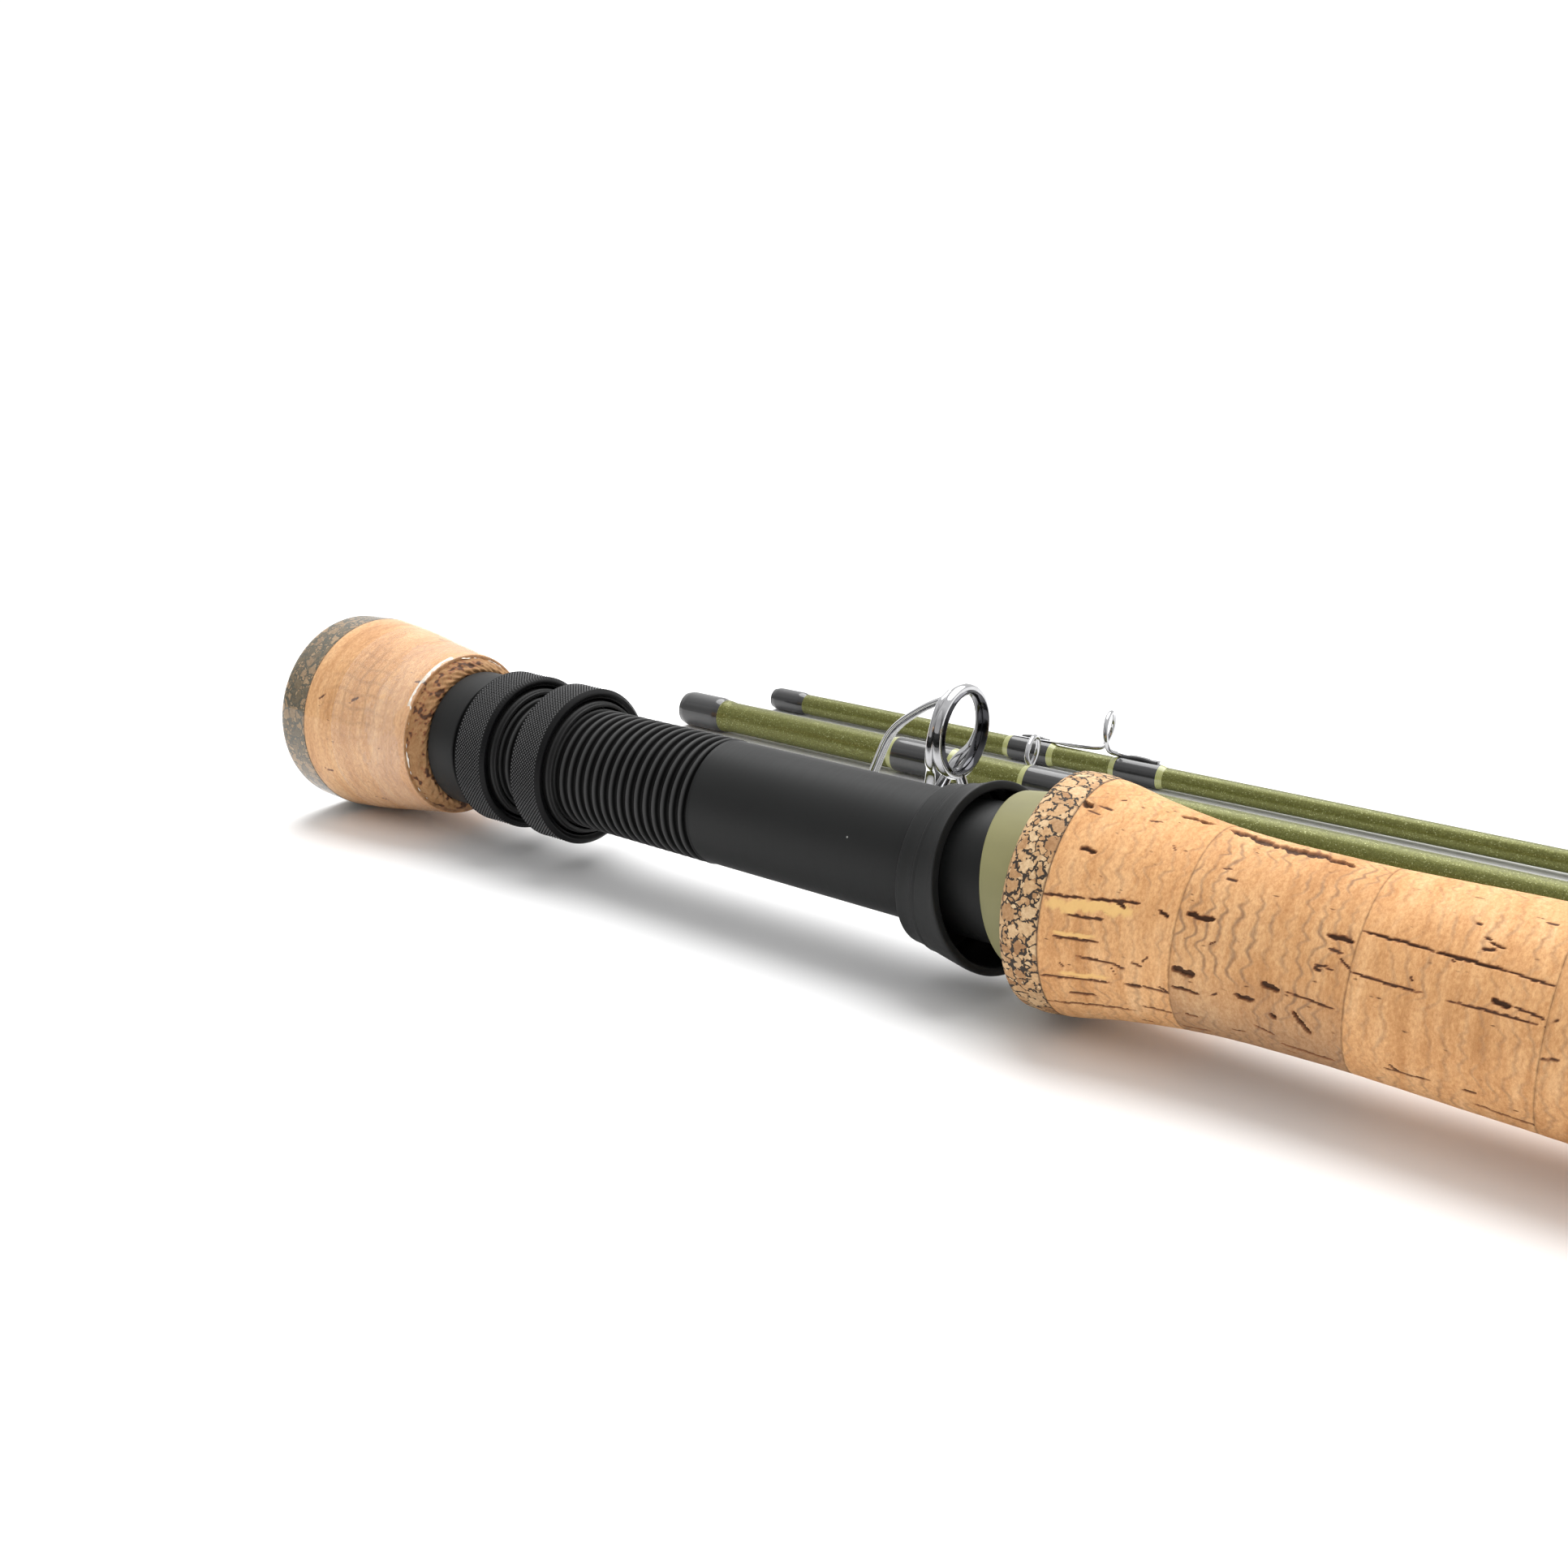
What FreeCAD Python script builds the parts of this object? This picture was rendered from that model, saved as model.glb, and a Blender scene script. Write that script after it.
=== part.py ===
import FreeCAD, Part
import math
import os
import Sketcher

# A four-piece fly rod, taken down: the butt section with its reel seat and cork grip lies
# in front, and the second, third and tip sections lie parallel behind it on one surface.
#
# Row frame: +X along the rod towards the tip, +Y to the sections behind, +Z up, Z = 0 the surface.
# Stations along the rod are measured from the middle of the reel seat's plain barrel.

DIMENSIONS = [
    ("frame_x", -255.25, "row x of the station datum"),
    ("frame_y", -43.03, "row y of the butt section's axis"),
    ("butt_radius", 17.9, "largest radius of the fighting butt, which rests on the surface"),
    ("cap_start", -109.5, "rear face of the fighting butt"),
    ("cap_length", 7.7, "granulated cap of the fighting butt"),
    ("cap_edge", 1.6, "rounding of the cap's rear edge"),
    ("cork_length", 26.9, "cork body of the fighting butt"),
    ("cork_face_length", 3.2, "domed front face of the cork body"),
    ("cork_front_radius", 14.7, "cork body at the edge of its front face"),
    ("cork_face_radius", 12.4, "cork body where it meets the rear collar"),
    ("film_thickness", 0.15, "shrink film round the cork body"),
    ("spigot_radius", 6.0, "spigot that carries the fighting butt"),
    ("spigot_length", 60.0, "spigot from the cap into the seat tube"),
    ("collar_radius", 12.0, "rear collar of the reel seat"),
    ("collar_length", 6.5, "rear collar of the reel seat"),
    ("seat_length", 116.0, "seat tube from the cork body to inside the grip"),
    ("seat_radius", 10.0, "plain barrel of the seat tube"),
    ("seat_bore", 8.6, "bore of the seat tube"),
    ("crest_radius", 10.15, "crest of the seat thread"),
    ("root_radius", 9.25, "root of the seat thread"),
    ("thread_pitch", 1.85, "pitch of the seat thread"),
    ("thread_start", 8.25, "first thread groove, from the seat tube's rear end"),
    ("thread_turns", 27, "turns of the seat thread"),
    ("ring_radius", 13.4, "knurled lock rings"),
    ("ring_bore", 11.75, "bore of a lock ring round its thrust sleeve"),
    ("ring_edge", 0.7, "chamfer of a lock ring"),
    ("rear_ring_start", -66.8, "rear face of the rear lock ring"),
    ("rear_ring_width", 7.4, "rear lock ring"),
    ("front_ring_start", -53.1, "rear face of the front lock ring"),
    ("front_ring_width", 7.0, "front lock ring"),
    ("sleeve_bore", 10.45, "bore of a thrust sleeve over the thread"),
    ("sleeve_radius", 11.4, "outside of a thrust sleeve"),
    ("sleeve_lip", 0.8, "how far a thrust sleeve stands out at the front"),
    ("hood_start", 23.3, "rear face of the sliding hood"),
    ("hood_length", 10.1, "sliding hood, to the middle of its slanted rim"),
    ("hood_drop", 0.9, "how far the sliding hood's outside sits below the rod's axis"),
    ("hood_back_radius", 12.0, "sliding hood at its rear face"),
    ("hood_shoulder", 1.8, "slanted shoulder at the rear of the sliding hood"),
    ("hood_rim_radius", 13.8, "sliding hood at its rim"),
    ("hood_back_wall", 2.6, "solid rear wall of the sliding hood"),
    ("hood_recess_radius", 12.5, "recess for the reel foot inside the rim"),
    ("hood_bore", 10.45, "bore of the sliding hood over the barrel and thread"),
    ("hood_pitch", 11.0, "slant of the hood's rim, low side forward, degrees"),
    ("hood_yaw", 10.0, "slant of the hood's rim, far side forward, degrees"),
    ("fixed_hood_start", 37.5, "middle of the fixed hood's slanted rear edge"),
    ("fixed_hood_end", 50.0, "front end of the fixed hood inside the grip"),
    ("fixed_hood_rear_radius", 12.3, "fixed hood at its rear edge"),
    ("fixed_hood_radius", 13.2, "fixed hood where it enters the grip"),
    ("fixed_hood_recess", 11.6, "recess for the reel foot inside the fixed hood"),
    ("fixed_hood_floor", 46.0, "bottom of the fixed hood's recess"),
    ("grip_start", 42.0, "rear face of the grip"),
    ("grip_length", 175.0, "grip"),
    ("burl_width", 6.6, "granulated cork ring at the rear of the grip"),
    ("first_cork_width", 16.9, "first plain cork ring of the grip"),
    ("cork_pitch", 21.5, "other cork rings of the grip"),
    ("grip_shoulder_radius", 16.75, "grip at its rear shoulder"),
    ("grip_waist_radius", 12.9, "grip behind the palm swell"),
    ("grip_palm_radius", 13.8, "grip at the palm swell"),
    ("grip_neck_radius", 12.9, "grip ahead of the palm swell"),
    ("grip_nose_radius", 15.2, "grip at its front swell"),
    ("grip_bore", 6.2, "bore of the cork rings"),
    ("check_length", 4.0, "winding check"),
    ("check_radius", 8.4, "winding check"),
    ("arbor_width", 14.0, "arbors between the blank and the seat tube"),
    ("arbor_pitch", 38.0, "distance between the arbors"),
    ("butt_section_length", 720.0, "butt section over all"),
    ("section_wall", 0.75, "wall of the blanks"),
]

# Loose sections: rear end station, distance behind the butt section, length, how far the
# guides lean away from the butt section in degrees, ferrule outside radius, blank radius at
# the rear and front, male ferrule radius and length, female bore radius and depth, and the
# end of the ferrule wrap.
SECTIONS = {
    "second": dict(start=-85.0, away=39.0, length=705.0, lean=0.0, ferrule=4.9, thick=4.25, thin=3.0,
                   male=2.75, male_length=46.0, bore=3.8, bore_depth=50.0, wrap=9.5),
    "third": dict(start=-91.3, away=76.0, length=705.0, lean=70.0, ferrule=3.8, thick=3.25, thin=2.2,
                  male=1.85, male_length=40.0, bore=2.8, bore_depth=44.0, wrap=10.6),
    "tip": dict(start=-83.7, away=98.0, length=700.0, lean=13.0, ferrule=2.55, thick=2.25, thin=0.95,
                male=0.0, male_length=0.0, bore=1.9, bore_depth=38.0, wrap=8.8),
}
BUTT_BLANK = dict(thick=6.2, thin=4.4, male=3.75, male_length=52.0)

# Snake guides: station of the loop and loop radius (middle of the wire).
SNAKES = {
    "second": [(255.0, 5.6), (480.0, 5.2)],
    "third": [(-9.0, 4.3), (178.0, 4.3), (345.0, 4.2), (500.0, 4.2)],
    "tip": [(0.0, 4.2), (138.0, 4.1), (268.0, 4.0), (390.0, 3.9), (503.0, 3.9)],
}
# Their thread wraps: start of the rear and front wrap from the loop, and length of both.
SNAKE_WRAPS = {
    "second": dict(rear=-21.5, front=2.6, reach=13.0),
    "third": dict(rear=-26.6, front=3.8, reach=15.0),
    "tip": dict(rear=-21.8, front=2.4, reach=11.0),
}
SNAKE_WIRE = 0.5
SNAKE_ADVANCE = 2.4
SNAKE_REAR_BEND = 6.5
SNAKE_FOOT_COVER = 1.5
WRAP_THICKNESS = 0.32

# Stripping guides: station, height of the ring's middle above the blank's axis, radius of the
# ring and of its hole, and how far the feet reach behind and ahead of the ring.
GUIDES = {
    "butt": dict(station=500.0, height=17.0, outer=10.25, hole=8.0, rear_foot=44.0, front_foot=26.0),
    "second": dict(station=2.3, height=19.0, outer=8.25, hole=6.35, rear_foot=35.0, front_foot=21.0),
}

doc = FreeCAD.newDocument("fly_rod")
sheet = doc.addObject("Spreadsheet::Sheet", "Dimensions")
for row, (alias, value, meaning) in enumerate(DIMENSIONS, start=1):
    sheet.set("A%d" % row, meaning)
    sheet.set("B%d" % row, str(value))
    sheet.setAlias("B%d" % row, alias)
doc.recompute()

nodes = []


def dim(alias):
    """The value of a sheet cell, for the shapes that code makes."""
    return float(sheet.get(alias))


def bound(obj, prop, value):
    """Set a property from a number or bind it to an expression on the sheet."""
    if isinstance(value, str):
        obj.setExpression(prop, value)
    else:
        obj.setExpression(prop, repr(float(value)))


def place(obj, station, away=0.0, height="Dimensions.butt_radius"):
    """Put an object on a section's axis: station along the rod, away behind the butt section."""
    bound(obj, "Placement.Base.x", "Dimensions.frame_x + (%s)" % station)
    bound(obj, "Placement.Base.y", "Dimensions.frame_y + (%s)" % away)
    bound(obj, "Placement.Base.z", height)


def node(obj):
    """Mark an object as a piece of the rod, written to a file of its own."""
    nodes.append(obj)
    return obj


def upright_plane(body):
    """The plane of a body that holds the outlines of its turned shapes."""
    return [plane for plane in body.Origin.OriginFeatures if plane.Role == "XZ_Plane"][0]


def turned(label, outline):
    """A PartDesign body revolved about X.  The outline is a ring of (x, radius) expressions."""
    body = doc.addObject("PartDesign::Body", label)
    body.Label = label
    sketch = body.newObject("Sketcher::SketchObject", label + "_outline")
    sketch.AttachmentSupport = [(upright_plane(body), "")]
    sketch.MapMode = "FlatFace"
    count = len(outline)
    spots = [(float(evaluate(x)), float(evaluate(r))) for x, r in outline]
    for index in range(count):
        start = FreeCAD.Vector(*spots[index], 0)
        end = FreeCAD.Vector(*spots[(index + 1) % count], 0)
        sketch.addGeometry(Part.LineSegment(start, end), False)
    for index in range(count):
        sketch.addConstraint(Sketcher.Constraint("Coincident", index, 2, (index + 1) % count, 1))
    for index, (x, radius) in enumerate(outline):
        spot = spots[index]
        for kind, value, number in (("DistanceX", x, spot[0]), ("DistanceY", radius, spot[1])):
            number = sketch.addConstraint(Sketcher.Constraint(kind, -1, 1, index, 1, number))
            if isinstance(value, str):
                sketch.setExpression("Constraints[%d]" % number, value)
    revolution = body.newObject("PartDesign::Revolution", label + "_turned")
    revolution.Profile = sketch
    revolution.ReferenceAxis = (sketch, ["H_Axis"])
    revolution.Angle = 360.0
    body.Tip = revolution
    return body


def evaluate(value):
    """A number from a number or from an expression on the sheet."""
    if not isinstance(value, str):
        return value
    return getattr(sheet.evalExpression(value), "Value", sheet.evalExpression(value))


def round_edge(body, x, radius, size):
    """Round the circular edge of a turned body at (x, radius)."""
    doc.recompute()
    base = body.Tip
    x, radius = evaluate(x), evaluate(radius)
    names = []
    for index, edge in enumerate(base.Shape.Edges, start=1):
        curve = edge.Curve
        if not isinstance(curve, Part.Circle):
            continue
        if abs(curve.Radius - radius) < 0.01 and abs(curve.Center.x - x) < 0.01:
            names.append("Edge%d" % index)
    fillet = body.newObject("PartDesign::Fillet", body.Label + "_round")
    fillet.Base = (base, names)
    bound(fillet, "Radius", size)
    body.Tip = fillet
    return fillet


def primitive(kind, name, **sizes):
    """A Part primitive turned to stand along X, with its sizes bound."""
    obj = doc.addObject("Part::" + kind, name)
    for prop, value in sizes.items():
        bound(obj, prop, value)
    obj.Placement.Rotation = FreeCAD.Rotation(FreeCAD.Vector(0, 1, 0), 90)
    return obj


def difference(name, base, tool):
    cut = doc.addObject("Part::Cut", name)
    cut.Base = base
    cut.Tool = tool
    return cut


def group(label, members):
    """Several separate solids of one kind, as one node."""
    compound = doc.addObject("Part::Compound", label)
    compound.Label = label
    compound.Links = members
    return node(compound)


def shaped(label, shape, station, away, height, roll=0.0):
    """A piece whose shape code makes, placed on a section's axis and rolled about it."""
    piece = doc.addObject("Part::Feature", label)
    piece.Label = label
    piece.Shape = shape
    spot = FreeCAD.Vector(dim("frame_x") + station, dim("frame_y") + away, height)
    piece.Placement = FreeCAD.Placement(spot, FreeCAD.Rotation(FreeCAD.Vector(1, 0, 0), roll))
    return piece


def revolved_spline(upper, lower):
    """A solid turned about X between two splines of (station, radius)."""
    edges = []
    for line in (upper, lower):
        curve = Part.BSplineCurve()
        curve.interpolate([FreeCAD.Vector(x, 0, radius) for x, radius in line])
        edges.append(curve.toShape())
    for end in (0, -1):
        below = FreeCAD.Vector(lower[end][0], 0, lower[end][1])
        above = FreeCAD.Vector(upper[end][0], 0, upper[end][1])
        edges.append(Part.makeLine(below, above))
    wire = Part.Wire(Part.__sortEdges__(edges))
    return Part.Face(wire).revolve(FreeCAD.Vector(), FreeCAD.Vector(1, 0, 0), 360)


def rounded_path(points):
    """Straight runs joined by tangent arcs, each arc as large as its two runs allow."""
    reach = 0.45
    edges = []
    begin = points[0]
    for before, corner, after in zip(points, points[1:], points[2:]):
        back = (before - corner).normalize()
        ahead = (after - corner).normalize()
        cut = reach * min((before - corner).Length, (after - corner).Length)
        turn_in = corner + back * cut
        turn_out = corner + ahead * cut
        half = back.getAngle(ahead) / 2
        bisector = (back + ahead).normalize()
        centre = corner + bisector * (cut / math.cos(half))
        middle = centre - bisector * (cut * math.tan(half))
        edges.append(Part.makeLine(begin, turn_in))
        edges.append(Part.Arc(turn_in, middle, turn_out).toShape())
        begin = turn_out
    edges.append(Part.makeLine(begin, points[-1]))
    return Part.Wire(edges)


def bent_wire(points, radius):
    """Round wire bent along a path."""
    path = rounded_path(points)
    start = points[0]
    circle = Part.makeCircle(radius, start, points[1] - start)
    return path.makePipeShell([Part.Wire([circle])], True, False)


def bar(start, end, radius):
    """A round bar between two points."""
    return Part.makeCylinder(radius, (end - start).Length, start, end - start)


# ---- Fighting butt -------------------------------------------------------------------------

butt_cap = node(turned("butt_burl_cap", [
    (0.0, "Dimensions.spigot_radius"),
    (0.0, "Dimensions.butt_radius - 0.3"),
    ("Dimensions.cap_length", "Dimensions.butt_radius"),
    ("Dimensions.cap_length", "Dimensions.spigot_radius"),
]))
place(butt_cap, "Dimensions.cap_start")
round_edge(butt_cap, 0.0, "Dimensions.butt_radius - 0.3", "Dimensions.cap_edge")

butt_plug = node(turned("butt_end_plug", [
    (0.5, 0.0),
    (0.5, "Dimensions.spigot_radius"),
    (4.0, "Dimensions.spigot_radius"),
    (4.0, 0.0),
]))
place(butt_plug, "Dimensions.cap_start")

butt_spigot = node(turned("butt_spigot", [
    (0.0, "Dimensions.spigot_radius - 1.5"),
    (0.0, "Dimensions.spigot_radius"),
    ("Dimensions.spigot_length", "Dimensions.spigot_radius"),
    ("Dimensions.spigot_length", "Dimensions.spigot_radius - 1.5"),
]))
place(butt_spigot, "Dimensions.cap_start + 4")

cork_start = dim("cap_start") + dim("cap_length")
cork_side = dim("cork_length") - dim("cork_face_length")
cork_outline = [
    (0.0, dim("butt_radius")),
    (0.30 * cork_side, dim("butt_radius") - 0.8),
    (0.62 * cork_side, dim("butt_radius") - 2.0),
    (0.94 * cork_side, dim("cork_front_radius") + 0.05),
    (cork_side, dim("cork_front_radius") - 0.2),
    (cork_side + 0.4 * dim("cork_face_length"), dim("cork_front_radius") - 1.0),
    (dim("cork_length"), dim("cork_face_radius")),
]
cork_bore = [(0.0, dim("spigot_radius")), (dim("cork_length"), dim("spigot_radius"))]
node(shaped("butt_cork", revolved_spline(cork_outline, cork_bore), cork_start, 0.0, dim("butt_radius")))
film_inside = cork_outline[1:-2]
film_outside = [(x, radius + dim("film_thickness")) for x, radius in film_inside]
node(shaped("butt_shrink_film", revolved_spline(film_outside, film_inside),
            cork_start, 0.0, dim("butt_radius")))

# ---- Reel seat -----------------------------------------------------------------------------

seat = node(turned("seat_tube", [
    (0.0, "Dimensions.seat_bore"),
    (0.0, "Dimensions.seat_radius - 0.5"),
    ("Dimensions.thread_start - 1", "Dimensions.seat_radius - 0.5"),
    ("Dimensions.thread_start - 1", "Dimensions.crest_radius"),
    ("Dimensions.thread_start + Dimensions.thread_pitch * Dimensions.thread_turns",
     "Dimensions.crest_radius"),
    ("Dimensions.thread_start + Dimensions.thread_pitch * Dimensions.thread_turns + 0.3",
     "Dimensions.seat_radius"),
    ("Dimensions.seat_length", "Dimensions.seat_radius"),
    ("Dimensions.seat_length", "Dimensions.seat_bore"),
]))
place(seat, "Dimensions.cap_start + Dimensions.cap_length + Dimensions.cork_length")
doc.recompute()
plain_volume = seat.Shape.Volume
notch = seat.newObject("Sketcher::SketchObject", "thread_notch")
notch.AttachmentSupport = [(upright_plane(seat), "")]
notch.MapMode = "FlatFace"
NOTCH = [(-0.72, 1), (-0.32, 0), (0.32, 0), (0.72, 1)]
NOTCH_LIP = 0.2
middle = dim("thread_start")
heights = [dim("root_radius"), dim("crest_radius") + NOTCH_LIP]
corners = [FreeCAD.Vector(middle + x, heights[up], 0) for x, up in NOTCH]
for index in range(4):
    notch.addGeometry(Part.LineSegment(corners[index], corners[(index + 1) % 4]), False)
for index in range(4):
    notch.addConstraint(Sketcher.Constraint("Coincident", index, 2, (index + 1) % 4, 1))
for index, (x, up) in enumerate(NOTCH):
    number = notch.addConstraint(Sketcher.Constraint("DistanceX", -1, 1, index, 1, middle + x))
    notch.setExpression("Constraints[%d]" % number, "Dimensions.thread_start + %s" % x)
    level = "Dimensions.crest_radius + %s" % NOTCH_LIP if up else "Dimensions.root_radius"
    number = notch.addConstraint(Sketcher.Constraint("DistanceY", -1, 1, index, 1, evaluate(level)))
    notch.setExpression("Constraints[%d]" % number, level)
groove = seat.newObject("PartDesign::Groove", "thread_groove")
groove.Profile = notch
groove.ReferenceAxis = (notch, ["H_Axis"])
groove.Angle = 360.0
seat.Tip = groove
doc.recompute()
thread = seat.newObject("PartDesign::LinearPattern", "thread_pattern")
thread.Originals = [groove]
thread.Direction = (notch, ["H_Axis"])
thread.setExpression("Length", "Dimensions.thread_pitch * (Dimensions.thread_turns - 1)")
thread.setExpression("Occurrences", "Dimensions.thread_turns")
seat.Tip = thread
doc.recompute()
notch_volume = (plain_volume - seat.Shape.Volume) / dim("thread_turns")
print("volume of each thread groove: %.1f mm3" % notch_volume)
if notch_volume < 10.0:
    raise RuntimeError("the thread grooves cut nothing")

collar = node(turned("rear_collar", [
    (0.0, "Dimensions.seat_radius - 0.5"),
    (0.0, "Dimensions.collar_radius"),
    ("Dimensions.collar_length", "Dimensions.collar_radius"),
    ("Dimensions.collar_length", "Dimensions.seat_radius - 0.5"),
]))
place(collar, "Dimensions.cap_start + Dimensions.cap_length + Dimensions.cork_length")

for end in ("rear", "front"):
    width = "Dimensions.%s_ring_width" % end
    start = "Dimensions.%s_ring_start" % end
    ring = node(turned(end + "_lock_ring", [
        (0.0, "Dimensions.sleeve_bore"),
        (0.0, "Dimensions.ring_radius - Dimensions.ring_edge"),
        ("Dimensions.ring_edge", "Dimensions.ring_radius"),
        (width + " - Dimensions.ring_edge", "Dimensions.ring_radius"),
        (width, "Dimensions.ring_radius - Dimensions.ring_edge"),
        (width, "Dimensions.ring_bore"),
        (width + " * 0.4", "Dimensions.ring_bore"),
        (width + " * 0.4", "Dimensions.sleeve_bore"),
    ]))
    place(ring, start)
    sleeve = node(turned(end + "_thrust_sleeve", [
        (0.0, "Dimensions.sleeve_bore"),
        (0.0, "Dimensions.sleeve_radius"),
        (width + " * 0.6 - 0.3 + Dimensions.sleeve_lip", "Dimensions.sleeve_radius"),
        (width + " * 0.6 - 0.3 + Dimensions.sleeve_lip", "Dimensions.sleeve_bore"),
    ]))
    place(sleeve, start + " + " + width + " * 0.4 + 0.3")


def slanted_slab(name, front, pitch, yaw, ahead):
    """A block whose slanted rear or front face crosses the axis at a station of its piece."""
    size = 60.0
    slab = doc.addObject("Part::Box", name)
    slab.Length = slab.Width = slab.Height = size
    turn = FreeCAD.Rotation(FreeCAD.Vector(0, 0, 1), -yaw)
    turn = turn.multiply(FreeCAD.Rotation(FreeCAD.Vector(0, 1, 0), pitch))
    corner = FreeCAD.Vector(0 if ahead else -size, -size / 2, -size / 2)
    slab.Placement = FreeCAD.Placement(FreeCAD.Vector(front, 0, 0) + turn.multVec(corner), turn)
    return slab


HOOD_SPARE = 6.0
hood_bore = primitive("Cylinder", "sliding_hood_bore", Radius="Dimensions.hood_bore",
                      Height="Dimensions.hood_length")
hood_parts = {
    "shoulder": primitive("Cone", "sliding_hood_shoulder", Radius1="Dimensions.hood_back_radius",
                          Radius2="Dimensions.hood_rim_radius", Height="Dimensions.hood_shoulder"),
    "rim": primitive("Cylinder", "sliding_hood_rim", Radius="Dimensions.hood_rim_radius",
                     Height="Dimensions.hood_length - Dimensions.hood_shoulder + %s" % HOOD_SPARE),
    "recess": primitive("Cylinder", "sliding_hood_recess", Radius="Dimensions.hood_recess_radius",
                        Height="Dimensions.hood_length + %s" % HOOD_SPARE),
}
hood_parts_start = {"shoulder": 0.0, "rim": "Dimensions.hood_shoulder", "recess": "Dimensions.hood_back_wall"}
for name, part in hood_parts.items():
    bound(part, "Placement.Base.x", hood_parts_start[name])
    bound(part, "Placement.Base.z", "-1 * Dimensions.hood_drop")
hood_form = doc.addObject("Part::Fuse", "sliding_hood_form")
hood_form.Base = hood_parts["shoulder"]
hood_form.Tool = hood_parts["rim"]
hood_bored = difference("sliding_hood_bored", hood_form, hood_bore)
hood_hollow = difference("sliding_hood_hollow", hood_bored, hood_parts["recess"])
hood_trim = slanted_slab("sliding_hood_trim", dim("hood_length"), dim("hood_pitch"), dim("hood_yaw"), True)
hood = node(difference("sliding_hood", hood_hollow, hood_trim))
hood.Label = "sliding_hood"
place(hood, "Dimensions.hood_start")

FIXED_SPARE = 8.0
fixed_turned = turned("fixed_hood_turned", [
    (0.0, "Dimensions.fixed_hood_recess"),
    (0.0, "Dimensions.fixed_hood_rear_radius"),
    (FIXED_SPARE, "Dimensions.fixed_hood_rear_radius"),
    ("Dimensions.grip_start - Dimensions.fixed_hood_start + %s" % FIXED_SPARE,
     "Dimensions.fixed_hood_radius"),
    ("Dimensions.fixed_hood_end - Dimensions.fixed_hood_start + %s" % FIXED_SPARE,
     "Dimensions.fixed_hood_radius"),
    ("Dimensions.fixed_hood_end - Dimensions.fixed_hood_start + %s" % FIXED_SPARE,
     "Dimensions.seat_radius"),
    ("Dimensions.fixed_hood_floor - Dimensions.fixed_hood_start + %s" % FIXED_SPARE,
     "Dimensions.seat_radius"),
    ("Dimensions.fixed_hood_floor - Dimensions.fixed_hood_start + %s" % FIXED_SPARE,
     "Dimensions.fixed_hood_recess"),
])
fixed_trim = slanted_slab("fixed_hood_trim", FIXED_SPARE, dim("hood_pitch"), 0.0, False)
fixed_hood = node(difference("fixed_hood", fixed_turned, fixed_trim))
fixed_hood.Label = "fixed_hood"
place(fixed_hood, "Dimensions.fixed_hood_start - %s" % FIXED_SPARE)

arbors = []
ARBOR_COUNT = 3
FIRST_ARBOR = -40.0
for index in range(ARBOR_COUNT):
    arbor = turned("seat_arbor_%d" % (index + 1), [
        (0.0, BUTT_BLANK["thick"]),
        (0.0, "Dimensions.seat_bore"),
        ("Dimensions.arbor_width", "Dimensions.seat_bore"),
        ("Dimensions.arbor_width", BUTT_BLANK["thick"]),
    ])
    place(arbor, "%s + Dimensions.arbor_pitch * %d" % (FIRST_ARBOR, index))
    arbors.append(arbor)
group("seat_arbors", arbors)

# ---- Grip ----------------------------------------------------------------------------------

grip_end = dim("grip_length")
grip_outline = [
    (0.0, dim("grip_shoulder_radius") - 2.0),
    (0.9, dim("grip_shoulder_radius") - 0.6),
    (3.0, dim("grip_shoulder_radius")),
    (6.6, dim("grip_shoulder_radius") - 0.25),
    (14.0, dim("grip_shoulder_radius") - 1.75),
    (24.5, dim("grip_waist_radius") + 0.6),
    (40.0, dim("grip_waist_radius")),
    (0.34 * grip_end, dim("grip_waist_radius") + 0.35),
    (0.50 * grip_end, dim("grip_palm_radius")),
    (0.68 * grip_end, dim("grip_neck_radius") + 0.1),
    (0.77 * grip_end, dim("grip_neck_radius")),
    (0.86 * grip_end, dim("grip_nose_radius") - 0.9),
    (0.92 * grip_end, dim("grip_nose_radius")),
    (0.965 * grip_end, dim("grip_nose_radius") - 2.0),
    (grip_end, dim("check_radius")),
]
grip_core = [(0.0, dim("grip_bore")), (grip_end, dim("grip_bore"))]
grip_form = shaped("grip_form", revolved_spline(grip_outline, grip_core),
                   dim("grip_start"), 0.0, dim("butt_radius"))

CORK_COUNT = 8
cork_ends = [0.0, dim("burl_width"), dim("burl_width") + dim("first_cork_width")]
cork_ends += [cork_ends[-1] + dim("cork_pitch") * (turn + 1) for turn in range(CORK_COUNT - 2)]
cork_ends.append(grip_end)
cork_names = ["grip_burl_ring"] + ["grip_cork_%d" % (turn + 1) for turn in range(CORK_COUNT)]
bores = {"grip_burl_ring": "Dimensions.fixed_hood_radius", "grip_cork_1": "Dimensions.fixed_hood_radius"}
GRIP_REACH = 25.0
for name, begin, end in zip(cork_names, cork_ends, cork_ends[1:]):
    slab = primitive("Cylinder", name + "_slab", Radius=GRIP_REACH, Height=end - begin)
    place(slab, "Dimensions.grip_start + %s" % begin)
    disc = slab
    if name in bores:
        reach = min(end, dim("fixed_hood_end") - dim("grip_start")) - begin
        bore = primitive("Cylinder", name + "_bore", Radius=bores[name], Height=reach)
        place(bore, "Dimensions.grip_start + %s" % begin)
        disc = difference(name + "_disc", slab, bore)
    ring = doc.addObject("Part::Common", name)
    ring.Label = name
    ring.Base = grip_form
    ring.Tool = disc
    node(ring)

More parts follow.
